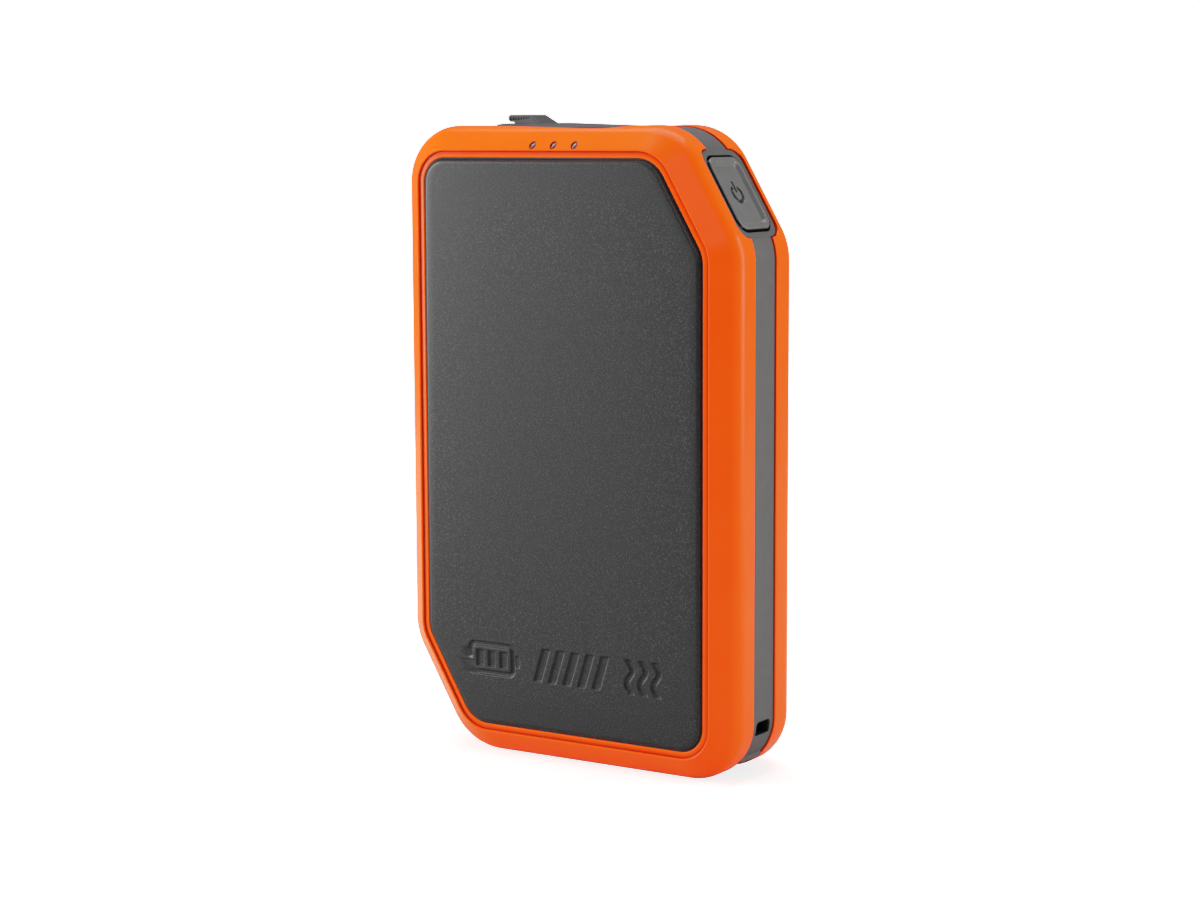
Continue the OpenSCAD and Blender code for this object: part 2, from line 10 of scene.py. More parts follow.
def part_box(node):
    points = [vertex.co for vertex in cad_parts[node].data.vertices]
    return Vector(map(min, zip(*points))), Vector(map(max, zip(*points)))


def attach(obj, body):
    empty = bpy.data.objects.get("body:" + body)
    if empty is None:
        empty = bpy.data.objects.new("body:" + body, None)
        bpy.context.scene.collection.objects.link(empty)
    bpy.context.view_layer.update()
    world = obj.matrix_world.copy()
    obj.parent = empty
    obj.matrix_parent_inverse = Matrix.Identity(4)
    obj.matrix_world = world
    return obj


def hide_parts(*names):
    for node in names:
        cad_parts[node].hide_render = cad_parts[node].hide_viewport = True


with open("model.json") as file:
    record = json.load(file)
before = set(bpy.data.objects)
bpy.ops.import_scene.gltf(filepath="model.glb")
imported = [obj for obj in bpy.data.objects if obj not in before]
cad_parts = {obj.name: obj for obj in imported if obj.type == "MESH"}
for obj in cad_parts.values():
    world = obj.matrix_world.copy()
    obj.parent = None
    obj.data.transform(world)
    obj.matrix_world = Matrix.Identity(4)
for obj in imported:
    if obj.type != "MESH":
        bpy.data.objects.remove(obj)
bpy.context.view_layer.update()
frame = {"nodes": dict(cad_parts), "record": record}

# Shapes are worked out in millimetres and scaled to metres when a mesh is made.
MM = 0.001


def node_box(node):
    """Lowest and highest corner of a CAD node, in millimetres."""
    low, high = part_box(node)
    return np.array(low) / MM, np.array(high) / MM


# ---------------------------------------------------------------- driving sizes

BUMPER_LOW, BUMPER_HIGH = node_box("front_bumper")
PANEL_LOW, PANEL_HIGH = node_box("front_panel")
COVER_LOW, COVER_HIGH = node_box("port_cover")
_, BAND_HIGH = node_box("mid_frame")

HALF_W = BUMPER_HIGH[0]
HALF_H = (BUMPER_HIGH[2] - BUMPER_LOW[2]) / 2
BODY_H = 2 * HALF_H
RIM_W = HALF_W - PANEL_HIGH[0]
PANEL_FACE = -PANEL_LOW[1]
PANEL_BACK = -PANEL_HIGH[1]
CHAMFER_W = 12.7
CHAMFER_H = 21.6
SQUARE_R = 10.7
CUT_R = 12.2
CUT_ANGLE = math.atan2(CHAMFER_W, CHAMFER_H)

BAND_HALF = 3.7
BAND_RECESS = HALF_W - BAND_HIGH[0]
SEAM = 0.1
BAND_SEAM = 0.2
BAY_SEAM = 0.25
EDGE_R = 4.0
EDGE_TURN = math.radians(49)
SIDE_DEPTH = 7.5
LIP_FACE = PANEL_FACE - 0.7
CREST_DEPTH = LIP_FACE + 0.3
CREST_IN = RIM_W - 1.6
LIP_IN = RIM_W - 0.25
LIP_STEP_W = 0.15
LIP_SLOPE = 0.3
WALL = 2.2
CAVITY_IN = 3.8
SPIGOT_DEPTH = 8.4
LEDGE_IN = RIM_W + 2.5
LEDGE_FACE = PANEL_BACK - 0.4
LEDGE_BACK = LEDGE_FACE - 1.4

BUTTON_X = 1.65
BUTTON_L = 15.1
BUTTON_W = 11.4
BEZEL_TOP = -BAND_RECESS
BUTTON_FACE = BEZEL_TOP + 0.3
BEZEL_L = 18.2
BEZEL_W = 14.0
BEZEL_R = 3.0
BEZEL_T = 2.5
MOVING_GAP = 0.35
BUTTON_R = 2.3
SEAT_DEPTH = 5.0
SHADE_TOP = 0.18

COVER_X0 = COVER_LOW[0]
COVER_HALF = COVER_HIGH[1]
BAY_X0 = COVER_X0 - 0.3
BAY_X1 = 11.0
BAY_HALF = COVER_HALF + 0.3
BAY_RIM = 1.0
BAY_R = 3.2
DIP_X = (-22.0, -17.0, -8.0, 0.0, 5.0, 9.0, 12.0, 15.0)
DIP_DROP = (0.0, 0.08, 0.3, 0.5, 0.62, 0.5, 0.22, 0.0)
TRAY_TOP = BODY_H - 2.25
TRAY_BOTTOM = TRAY_TOP - 3.8
TRAY_HALF = 6.4
TRAY_PAST_BAY = 3.2
SOCKET_GAP = 0.25
COVER_BOTTOM = COVER_LOW[2] - BODY_H + 1.9
COVER_TOP = COVER_HIGH[2] - BODY_H
HINGE_X = 9.3
HINGE_Z = BODY_H - 1.05
KNUCKLE_R = 1.0


# ---------------------------------------------------------------- outlines

def unit(angle):
    return np.array([math.cos(angle), math.sin(angle)])


class Outline:
    """A convex outline with rounded corners, anticlockwise from its lower right corner.

    Each sample is (x, z, nx, nz): a point and the outward normal there.
    """

    def __init__(self, corners, radii):
        self.corners = [np.array(c, float) for c in corners]
        self.radii = radii
        count = len(corners)
        self.angles = []
        for i in range(count):
            edge = self.corners[(i + 1) % count] - self.corners[i]
            angle = math.atan2(edge[1], edge[0]) - math.pi / 2
            self.angles.append(angle)
        for i in range(1, count):
            while self.angles[i] < self.angles[i - 1]:
                self.angles[i] += 2 * math.pi

    def arc(self, i, inset=0.0, least=0.4):
        """Centre, radius, first and last normal angle of corner i, moved in by inset."""
        before = self.angles[i - 1] - (2 * math.pi if i == 0 else 0)
        after = self.angles[i]
        radius = max(self.radii[i] - inset, least)
        spread = (unit(before) + unit(after)) / (1 + math.cos(after - before))
        return self.corners[i] - (inset + radius) * spread, radius, before, after

    def samples(self, inset=0.0, step=math.radians(3), straight=4.0, extra=None,
                extra_turns=None):
        """The outline's samples. extra and extra_turns give more places, from 0 to 1."""
        out = []
        count = len(self.corners)
        for i in range(count):
            centre, radius, a0, a1 = self.arc(i, inset)
            turns = max(2, math.ceil((a1 - a0) / step))
            places = [k / turns for k in range(turns + 1)]
            if extra_turns:
                places = sorted(set(places) | set(extra_turns(i, centre, radius, a0, a1)))
            for t in places:
                normal = unit(a0 + (a1 - a0) * t)
                out.append((*(centre + radius * normal), *normal))
            start = centre + radius * unit(a1)
            next_centre, next_radius, _, _ = self.arc((i + 1) % count, inset)
            end = next_centre + next_radius * unit(a1)
            length = float(np.linalg.norm(end - start))
            runs = max(1, math.ceil(length / straight)) if straight else 1
            places = [k / runs for k in range(1, runs)]
            if extra:
                places = sorted(set(places) | set(extra(i, start, end)))
            for t in places:
                if 1e-4 < t < 1 - 1e-4:
                    out.append((*(start + t * (end - start)), *unit(a1)))
        return out


def body_outline():
    w, h = HALF_W, HALF_H
    corners = [(w, -h), (w, h - CHAMFER_H), (w - CHAMFER_W, h),
               (-w, h), (-w, CHAMFER_H - h), (CHAMFER_W - w, -h)]
    return Outline(corners, [SQUARE_R, CUT_R, CUT_R, SQUARE_R, CUT_R, CUT_R])


def rounded_rect(length, width, radius, centre=(0.0, 0.0)):
    x, y = centre
    a, b = length / 2, width / 2
    return Outline([(x + a, y - b), (x + a, y + b), (x - a, y + b), (x - a, y - b)],
                   [radius] * 4)


BODY = body_outline()
CUT_MIDDLE = (BODY.corners[1] + BODY.corners[2]) / 2
CUT_NORMAL = unit(CUT_ANGLE)
CUT_ALONG = np.array([CUT_NORMAL[1], -CUT_NORMAL[0]])


def filleted(points, radii, steps=4):
    """A closed section whose corners are rounded by the given radii."""
    out = []
    count = len(points)
    for i in range(count):
        p = np.array(points[i], float)
        to_prev = np.array(points[i - 1], float) - p
        to_next = np.array(points[(i + 1) % count], float) - p
        radius = radii[i]
        if radius <= 0:
            out.append(tuple(p))
            continue
        d0, d1 = np.linalg.norm(to_prev), np.linalg.norm(to_next)
        e0, e1 = to_prev / d0, to_next / d1
        turn = math.acos(np.clip(np.dot(e0, e1), -1, 1))
        reach = min(radius / math.tan(turn / 2), 0.49 * d0, 0.49 * d1)
        radius = reach * math.tan(turn / 2)
        middle = (e0 + e1) / np.linalg.norm(e0 + e1)
        centre = p + middle * radius / math.sin(turn / 2)
        v0, v1 = p + e0 * reach - centre, p + e1 * reach - centre
        sweep = math.acos(np.clip(np.dot(v0, v1) / radius ** 2, -1, 1))
        for k in range(steps + 1):
            t = k / steps
            v = (math.sin((1 - t) * sweep) * v0 + math.sin(t * sweep) * v1) / math.sin(sweep)
            out.append(tuple(centre + v))
    return out


# ---------------------------------------------------------------- mesh helpers

def upright(x, z, depth):
    """Outline x and z, measured from the body's middle, and a depth towards the front."""
    return (x, -depth, z + HALF_H)


def rear(x, z, depth):
    return (x, depth, z + HALF_H)


def on_cut(along, across, height):
    """A point in the cut corner's frame: along it, across it, and out from its face."""
    p = CUT_MIDDLE + along * CUT_ALONG + height * CUT_NORMAL
    return (p[0], across, p[1] + HALF_H)


def on_top(x, y, height):
    return (x, y, BODY_H + height)


def make_object(name, verts, faces, smooth=True):
    """A mesh object from millimetre points, with its faces turned outwards."""
    mesh = bpy.data.meshes.new(name)
    mesh.from_pydata([tuple(float(c) * MM for c in v) for v in verts], [], faces)
    bm = bmesh.new()
    bm.from_mesh(mesh)
    bmesh.ops.remove_doubles(bm, verts=bm.verts, dist=1e-7)
    bmesh.ops.recalc_face_normals(bm, faces=bm.faces)
    for face in bm.faces:
        face.smooth = smooth
    bm.to_mesh(mesh)
    bm.free()
    obj = bpy.data.objects.new(name, mesh)
    bpy.context.scene.collection.objects.link(obj)
    return obj


def loft(loops, closed=False):
    """Faces between loops of the same length, with end caps or closed into a ring."""
    count = len(loops[0])
    verts = [p for loop in loops for p in loop]
    faces = []
    spans = len(loops) if closed else len(loops) - 1
    for j in range(spans):
        a, b = j * count, ((j + 1) % len(loops)) * count
        for i in range(count):
            k = (i + 1) % count
            faces.append((a + i, a + k, b + k, b + i))
    if not closed:
        faces.append(tuple(range(count)))
        last = (len(loops) - 1) * count
        faces.append(tuple(range(last + count - 1, last - 1, -1)))
    return verts, faces


def joined(*parts):
    """Several lists of points and faces as one."""
    verts, faces = [], []
    for part_verts, part_faces in parts:
        base = len(verts)
        verts.extend(part_verts)
        faces.extend(tuple(i + base for i in f) for f in part_faces)
    return verts, faces


def apply_modifiers(obj):
    graph = bpy.context.evaluated_depsgraph_get()
    mesh = bpy.data.meshes.new_from_object(obj.evaluated_get(graph))
    obj.modifiers.clear()
    obj.data = mesh
    return obj


def cut(obj, tool, operation="DIFFERENCE"):
    """Takes tool out of obj, or adds it, and removes the tool."""
    modifier = obj.modifiers.new("cut", "BOOLEAN")
    modifier.operation = operation
    modifier.solver = "EXACT"
    modifier.object = tool
    apply_modifiers(obj)
    bpy.data.objects.remove(tool)
    return obj


def soften(obj, width, segments=2, angle=35):
    """Rounds the sharp edges of a piece by a bevel, width in millimetres."""
    modifier = obj.modifiers.new("soften", "BEVEL")
    modifier.width = width * MM
    modifier.segments = segments
    modifier.limit_method = "ANGLE"
    modifier.angle_limit = math.radians(angle)
    modifier.harden_normals = False
    return apply_modifiers(obj)


def even_normals(obj, angle=40):
    """Smooth shading that keeps flat faces flat and real edges sharp."""
    for polygon in obj.data.polygons:
        polygon.use_smooth = True
    bm = bmesh.new()
    bm.from_mesh(obj.data)
    for edge in bm.edges:
        if len(edge.link_faces) == 2:
            edge.smooth = edge.calc_face_angle(0.0) < math.radians(angle)
    bm.to_mesh(obj.data)
    bm.free()
    modifier = obj.modifiers.new("normals", "WEIGHTED_NORMAL")
    modifier.keep_sharp = True
    modifier.weight = 50
    return apply_modifiers(obj)


def finish_piece(obj, body, slot, node):
    """Gives a piece its material and the body it rides on, and hides the CAD node it stands for.
    """
    obj.data.materials.clear()
    obj.data.materials.append(MATERIALS[slot])
    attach(obj, body)
    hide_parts(node)


# ---------------------------------------------------------------- materials

def fill(node, **values):
    """Sets a node's inputs by name. An underscore stands for a space."""
    for name, value in values.items():
        node.inputs[name.replace("_", " ")].default_value = value
    return node


def new_node(tree, kind, **values):
    return fill(tree.nodes.new("ShaderNode" + kind), **values)


class Surface:
    """A Principled material with noise-driven colour, roughness and bump."""

    def __init__(self, name, roughness=0.5, metallic=0.0, specular=0.5, coat=0.0):
        self.material = bpy.data.materials.new(name)
        self.material.use_nodes = True
        self.tree = self.material.node_tree
        self.shader = fill(self.tree.nodes["Principled BSDF"], Roughness=roughness,
                           Metallic=metallic, Specular_IOR_Level=specular)
        if coat:
            fill(self.shader, Coat_Weight=coat, Coat_Roughness=0.25)
        self.place = new_node(self.tree, "TexCoord")
        self.last_bump = None

    def link(self, a, b):
        self.tree.links.new(a, b)

    def noise(self, size_mm, detail=2.0, stretch=(1, 1, 1)):
        """Noise whose features are about size_mm across, on the object's own coordinates."""
        mapping = new_node(self.tree, "Mapping", Scale=stretch)
        self.link(self.place.outputs["Object"], mapping.inputs["Vector"])
        node = new_node(self.tree, "TexNoise", Scale=1 / (size_mm * MM), Detail=detail)
        self.link(mapping.outputs["Vector"], node.inputs["Vector"])
        return node.outputs["Fac"]

    def ramp(self, value, stops):
        node = new_node(self.tree, "ValToRGB")
        elements = node.color_ramp.elements
        while len(elements) < len(stops):
            elements.new(0.5)
        for element, (place, colour) in zip(elements, stops):
            element.position = place
            element.color = (*colour, 1)
        self.link(value, node.inputs["Fac"])
        return node.outputs["Color"]

    def colour(self, value, dark, light, low=0.35, high=0.65):
        self.link(self.ramp(value, [(low, dark), (high, light)]), self.shader.inputs["Base Color"])
        return self

    def rough(self, value, low, high):
        node = new_node(self.tree, "MapRange", To_Min=low, To_Max=high)
        self.link(value, node.inputs["Value"])
        self.link(node.outputs["Result"], self.shader.inputs["Roughness"])
        return self

    def bump(self, value, depth_mm, strength=1.0):
        node = new_node(self.tree, "Bump", Distance=depth_mm * MM, Strength=strength)
        self.link(value, node.inputs["Height"])
        if self.last_bump is not None:
            self.link(self.last_bump, node.inputs["Normal"])
        self.last_bump = node.outputs["Normal"]
        self.link(self.last_bump, self.shader.inputs["Normal"])
        return self


SHADE = (0.004, 0.004, 0.004)


def painted(s, light, shade_colour):
    """Gives a surface its own colour, and a colour of painted shade where the mesh's points say
    they are shaded.
    """
    mix = new_node(s.tree, "Mix")
    mix.data_type = "RGBA"
    fill(mix, B=(*shade_colour, 1))
    painted_shade = new_node(s.tree, "Attribute")
    painted_shade.attribute_name = "painted_shade"
    s.link(painted_shade.outputs["Fac"], mix.inputs["Factor"])
    s.link(light, mix.inputs["A"])
    s.link(mix.outputs["Result"], s.shader.inputs["Base Color"])


def moulded(name, specular, tones, sheen, grain, shade_colour=SHADE):
    """A moulded surface, with painted shade where its mesh asks for it. tones, sheen and grain
    each start with a noise's size and detail.
    """
    s = Surface(name, specular=specular)
    size, detail, spread, dark, light = tones
    painted(s, s.ramp(s.noise(size, detail), [(0.5 - spread, dark), (0.5 + spread, light)]), shade_colour)
    size, detail, smooth, rough = sheen
    s.rough(s.noise(size, detail), smooth, rough)
    size, detail, depth, strength = grain
    s.bump(s.noise(size, detail), depth, strength)
    return s.material


def panel_grey():
    """Dark textured coat: fine grains, a few of them lighter."""
    s = Surface("panel_grey", roughness=0.4, specular=0.3)
    grain = s.noise(0.22, 3)
    s.link(s.ramp(grain, [(0.40, (0.004, 0.0041, 0.0042)), (0.56, (0.008, 0.0081, 0.0084)),
                          (0.68, (0.036, 0.0365, 0.038))]),
           s.shader.inputs["Base Color"])
    s.rough(grain, 0.36, 0.48)
    s.bump(grain, 0.015, 0.6)
    return s.material


def plain_plastic(name, colour, rough=0.45, grain=0.15, coat=0.0):
    s = Surface(name, roughness=rough, specular=0.45, coat=coat)
    light = tuple(min(1.0, c * 1.12 + 0.004) for c in colour)
    s.colour(s.noise(2.0, 3), colour, light)
    s.rough(s.noise(0.6, 3), rough - 0.05, rough + 0.06)
    s.bump(s.noise(grain, 2), 0.004, 0.5)
    return s.material


def metal(name, colour, rough=0.28, brushed=(1, 1, 14)):
    s = Surface(name, roughness=rough, metallic=1.0)
    light = tuple(min(1.0, c * 1.1) for c in colour)
    scratches = s.noise(0.8, 4, brushed)
    s.colour(scratches, colour, light)
    s.rough(scratches, rough - 0.07, rough + 0.1)
    s.bump(scratches, 0.003, 0.5)
    return s.material


def circuit_green():
    """Solder mask over traces: raised lines under a glossy coat."""
    s = Surface("circuit_green", roughness=0.3, specular=0.5, coat=0.4)
    traces = new_node(s.tree, "TexVoronoi", Scale=1 / (2.4 * MM))
    traces.distance = "CHEBYCHEV"
    traces.feature = "F2"
    s.link(s.place.outputs["Object"], traces.inputs["Vector"])
    s.colour(traces.outputs["Distance"], (0.012, 0.10, 0.045), (0.02, 0.17, 0.075), 0.45, 0.55)
    s.bump(traces.outputs["Distance"], 0.03, 0.4)
    return s.material


def felt():
    s = Surface("pad_white", roughness=0.95, specular=0.1)
    s.colour(s.noise(0.5, 6), (0.55, 0.55, 0.5), (0.78, 0.78, 0.73), 0.3, 0.7)
    s.bump(s.noise(0.3, 6), 0.1, 0.8)
    return s.material


def heater_film():
    """Amber film with a winding heating track."""
    s = Surface("film_amber", roughness=0.3, specular=0.5, coat=0.3)
    wave = new_node(s.tree, "TexWave", Scale=60, Distortion=0.4)
    wave.wave_type = "BANDS"
    wave.bands_direction = "Z"
    s.link(s.place.outputs["Object"], wave.inputs["Vector"])
    s.colour(wave.outputs["Fac"], (0.30, 0.11, 0.02), (0.62, 0.30, 0.06), 0.45, 0.55)
    s.bump(wave.outputs["Fac"], 0.02, 0.5)
    return s.material


def lamp_lens():
    s = Surface("lamp_clear", roughness=0.3, specular=0.4)
    # Lilac-grey lens; the pipe round it gets painted dark-brown shade, standing in for the shade
    # down in its hole
    painted(s, s.ramp(s.noise(0.4, 2), [(0.35, (0.14, 0.09, 0.10)), (0.65, (0.22, 0.15, 0.165))]),
            (0.045, 0.008, 0.004))
    s.bump(s.noise(0.3, 2), 0.01, 0.4)
    return s.material


MATERIALS = {
    # bumper_orange's last colour is painted dark-red shade for the step beside the crest, the
    # panel's gap and the band's seam
    "bumper_orange": moulded("bumper_orange", 0.07,
                             (9, 3, 0.2, (0.89, 0.085, 0.002), (0.93, 0.092, 0.003)),
                             (12, 2, 0.25, 0.28), (0.12, 2, 0.001, 0.15), (0.30, 0.010, 0.001)),
    "band_grey": moulded("band_grey", 0.3,
                         (3, 3, 0.2, (0.054, 0.054, 0.0555), (0.061, 0.061, 0.0625)),
                         (0.5, 3, 0.46, 0.58), (0.09, 3, 0.004, 0.5)),
    "button_grey": moulded("button_grey", 0.35,
                           (2.5, 3, 0.2, (0.080, 0.080, 0.082), (0.089, 0.089, 0.091)),
                           (0.6, 3, 0.38, 0.48), (0.08, 2, 0.003, 0.4)),
    "panel_grey": panel_grey(),
    "seal_black": moulded("seal_black", 0.35,
                          (1.5, 3, 0.15, (0.008, 0.008, 0.008), (0.016, 0.016, 0.017)),
                          (0.5, 3, 0.54, 0.68), (0.1, 3, 0.008, 0.6)),
    "cover_grey": moulded("cover_grey", 0.3,
                          (1.5, 3, 0.15, (0.024, 0.0243, 0.025), (0.031, 0.0314, 0.0323)),
                          (0.5, 3, 0.44, 0.58), (0.1, 3, 0.006, 0.5)),
    "film_amber": heater_film(),
    "pad_white": felt(),
    "steel": metal("steel", (0.55, 0.56, 0.58)),
    "nickel": metal("nickel", (0.58, 0.55, 0.5), 0.34, (1, 14, 1)),
    "cell_sleeve": plain_plastic("cell_sleeve", (0.02, 0.10, 0.26), 0.28, 0.5, 0.3),
    "cradle_black": plain_plastic("cradle_black", (0.018, 0.018, 0.019), 0.5),
    "lead_red": plain_plastic("lead_red", (0.42, 0.012, 0.012), 0.4),
    "lead_black": plain_plastic("lead_black", (0.012, 0.012, 0.012), 0.4),
    "circuit_green": circuit_green(),
    "chip_black": plain_plastic("chip_black", (0.014, 0.014, 0.015), 0.5),
    "contact_white": plain_plastic("contact_white", (0.72, 0.72, 0.7), 0.4),
    "ferrite": plain_plastic("ferrite", (0.06, 0.06, 0.064), 0.7),
    "capacitor_can": metal("capacitor_can", (0.62, 0.62, 0.64), 0.22, (6, 6, 1)),
    "lamp_clear": lamp_lens(),
}


# ---------------------------------------------------------------- bumpers

def bay_rise(distance, half_length, half_width, radius, base):
    """Depth of a bumper's inner edge where it goes round a bay, else base."""
    reach = abs(distance)
    if reach >= half_length:
        return base
    if reach <= half_length - radius:
        return half_width
    rise = half_width - radius + math.sqrt(radius ** 2 - (reach - half_length + radius) ** 2)
    return max(base, rise)


# The outline's edges that have a bay: the cut corner and the top
CUT_EDGE = 1
TOP_EDGE = 2


def bays():
    """Each bay by its edge: middle, half length along the edge, half width and radius."""
    button = (CUT_MIDDLE + BUTTON_X * CUT_ALONG, BEZEL_L / 2 + BAY_SEAM,
              BEZEL_W / 2 + BAY_SEAM, BEZEL_R)
    ports = (np.array([(BAY_X0 + BAY_X1) / 2, HALF_H]),
             (BAY_X1 - BAY_X0) / 2 + BAY_RIM + SEAM, BAY_HALF + BAY_RIM + SEAM, BAY_R + SEAM)
    return {CUT_EDGE: button, TOP_EDGE: ports}


BAYS = bays()


def forwards(angle):
    """Direction along an edge whose outward normal has this angle."""
    return np.array([-math.sin(angle), math.cos(angle)])


def bay_offsets(edge):
    """Distances along a bay's edge, from its middle, where its rounded ends need samples."""
    _, half_length, _, radius = BAYS[edge]
    offsets = [half_length + 0.001]
    steps = 15
    for k in range(steps + 1):
        offsets.append(half_length - radius + radius * math.sin(math.pi / 2 * k / steps))
    return [s * o for o in offsets for s in (-1, 1)]


def bay_places(edge, start, end):
    """Extra samples along a straight edge with a bay in it."""
    if edge not in BAYS:
        return []
    length = float(np.linalg.norm(end - start))
    origin = float(np.dot(BAYS[edge][0] - start, (end - start) / length))
    half_length = BAYS[edge][1]
    between = np.linspace(-half_length, half_length, 24)
    return [(origin + o) / length for o in bay_offsets(edge) + list(between)]


def bay_turns(corner, centre, radius, first, last):
    """Extra samples round a corner that a bay reaches into."""
    places = []
    for edge in (corner, (corner - 1) % len(BODY.corners)):
        if edge not in BAYS:
            continue
        angle = BODY.angles[edge]
        if angle > last + 1e-6:
            angle -= 2 * math.pi
        along = forwards(angle)
        for offset in bay_offsets(edge):
            reach = float(np.dot(BAYS[edge][0] + offset * along - centre, along)) / radius
            if abs(reach) < 0.6:
                places.append((angle + math.asin(reach) - first) / (last - first))
    return [t for t in places if 0.001 < t < 0.999]


def inner_edge_depth(sample, base):
    """Depth at which the bumper ends, next to the band or a bay, at an outline sample."""
    x, z, nx, nz = sample
    for edge, (middle, half_length, half_width, radius) in BAYS.items():
        angle = BODY.angles[edge]
        normal = unit(angle)
        offset = np.array([x, z]) - middle
        if np.dot(normal, (nx, nz)) > 0.6 and np.dot(offset, normal) > -3:
            distance = float(np.dot(offset, forwards(angle)))
            return bay_rise(distance, half_length, half_width, radius, base)
    return base


def top_dip(sample):
    """How far the bumper's upper side is lowered along the port bay, at an outline sample."""
    x, _, _, nz = sample
    if nz < 0.9:
        return 0.0
    return float(np.interp(x, DIP_X, DIP_DROP))


def bumper_section(edge_depth, dip):
    """Closed section of a bumper as (inset, depth), rounded along its edges."""
    first = math.acos(1 - dip / EDGE_R)
    bevel = [(EDGE_R * (1 - math.cos(a)), SIDE_DEPTH + EDGE_R * math.sin(a))
             for a in np.linspace(first, EDGE_TURN, 11)]
    corners = [
        ((CREST_IN, CREST_DEPTH), 0.3),
        ((CREST_IN + LIP_STEP_W, LIP_FACE - LIP_SLOPE), 0.12),
        ((LIP_IN, LIP_FACE), 0.22),
        ((LIP_IN, LEDGE_FACE), 0.0),
        ((LEDGE_IN, LEDGE_FACE), 0.15),
        ((LEDGE_IN, LEDGE_BACK), 0.15),
        ((CAVITY_IN, LEDGE_BACK), 0.0),
        ((CAVITY_IN, SPIGOT_DEPTH + SEAM), 0.1),
        ((WALL, SPIGOT_DEPTH + SEAM), 0.0),
        ((WALL, edge_depth), 0.0),
        ((dip, edge_depth), 0.35),
    ]
    points = [bevel[-1]] + [c for c, _ in corners] + [bevel[0]]
    radii = [0.0] + [r for _, r in corners] + [0.0]
    return bevel[1:-1] + filleted(points, radii)


def swept(samples, sections, place, closed=True):
    """Sweeps through outline samples. Each has its own section of (inset, depth)."""
    loops = []
    for (x, z, nx, nz), section in zip(samples, sections):
        loops.append([place(x - nx * i, z - nz * i, d) for i, d in section])
    return loft(loops, closed=closed)


BOSS_R = 2.4
THREAD_BORE_R = 1.05
SHANK_BORE_R = 1.1
SCREW_Z = HALF_H - 9.5
SCREW_POINTS = [(-14, -SCREW_Z), (20, -SCREW_Z), (-26, SCREW_Z), (15.2, SCREW_Z)]


def ring_points(centre, radius, count=32):
    return [(centre[0] + radius * math.cos(2 * math.pi * k / count),
             centre[1] + radius * math.sin(2 * math.pi * k / count)) for k in range(count)]


def tube(centre, outer, inner, depth0, depth1, place, count=32):
    """A round tube along the depth axis, about an outline point."""
    loops = []
    for radius, depth in ((outer, depth0), (outer, depth1), (inner, depth1), (inner, depth0)):
        loops.append([place(x, z, depth) for x, z in ring_points(centre, radius, count)])
    return loft(loops, closed=True)


def disc_tool(name, centre, radius, depth0, depth1, place):
    loops = [[place(x, z, d) for x, z in ring_points(centre, radius)] for d in (depth0, depth1)]
    return make_object(name, *loft(loops))


def groove_paint(inset, depth, edge_depth):
    """Shade at the step beside the crest, down the panel's gap and along the band's seam."""
    from_step = math.hypot(inset - CREST_IN - LIP_STEP_W, depth - LIP_FACE + LIP_SLOPE)
    shaded = from_step < 0.2 or inset > LIP_IN - 0.02 or depth < edge_depth + 0.1
    return 0.9 if shaded else 0.0


def bumper(name, place, bore):
    samples = BODY.samples(extra=bay_places, extra_turns=bay_turns)
    base = BAND_HALF + BAND_SEAM
    edges = [inner_edge_depth(s, base) for s in samples]
    sections = [bumper_section(edge, top_dip(s)) for edge, s in zip(edges, samples)]
    shell = swept(samples, sections, place)
    bosses = [tube(p, BOSS_R, bore, SEAM, LEDGE_BACK + 0.2, place) for p in SCREW_POINTS]
    obj = make_object(name, *joined(shell, *bosses))
    # The shell's points come first in the mesh, section by section.
    # Painted shade at the bumper's grooves and seams, one value for each section point
    painted_shade = obj.data.attributes.new("painted_shade", "FLOAT", "POINT")
    values = [groove_paint(i, d, edge) for edge, section in zip(edges, sections)
              for i, d in section]
    for point, value in zip(painted_shade.data, values):
        point.value = value
    return obj


LAMP_HOLE_R = 0.75
LED_HALF_W = 0.8
PIPE_R = 0.65
PIPE_FLANGE_R = 0.95
PIPE_FLANGE_T = 0.25
LENS_R = 0.31
LENS_DEPTH = 12.35


def lamp_places():
    low, high = node_box("indicator_leds")
    first, last = low[0] + LED_HALF_W, high[0] - LED_HALF_W
    height = (low[2] + high[2]) / 2 - HALF_H
    return [(x, height) for x in (first, (first + last) / 2, last)]


def lamp_paint(x, _, z):
    """Shade on everything of a light pipe but the lens in its middle."""
    radius = min(math.hypot(x - px, z - pz - HALF_H) for px, pz in lamp_places())
    return 1.0 if radius > LENS_R + 0.01 else 0.0


def bevel_slope():
    """How fast the bevel's depth grows with the distance in from the outline."""
    start = EDGE_R * (1 - math.cos(EDGE_TURN))
    rise = CREST_DEPTH - SIDE_DEPTH - EDGE_R * math.sin(EDGE_TURN)
    return rise / (CREST_IN - start)


def build_light_pipes():
    """Light pipes whose outer ends are cut in line with the bevel, round small lenses."""
    _, high = node_box("light_pipes")
    back = -high[1]
    slope = bevel_slope()
    rim = LENS_DEPTH - 0.1
    square = [(PIPE_FLANGE_R, back), (PIPE_FLANGE_R, back + PIPE_FLANGE_T),
              (PIPE_R, back + PIPE_FLANGE_T)]
    sloped = [(PIPE_R, rim), (LENS_R + 0.02, rim), (LENS_R, rim), (LENS_R, rim + 0.06),
              (0.2, LENS_DEPTH), (0.1, LENS_DEPTH + 0.02)]
    parts = []
    for point in lamp_places():
        loops = [[upright(x, z, depth - tilt * (z - point[1]))
                  for x, z in ring_points(point, r, 24)]
                 for tilt, rings in ((0.0, square), (slope, sloped)) for r, depth in rings]
        parts.append(loft(loops))
    obj = make_object("light_pipe_set", *joined(*parts))
    paint_points(obj, lamp_paint)
    finish_piece(obj, "housing", "lamp_clear", "light_pipes")


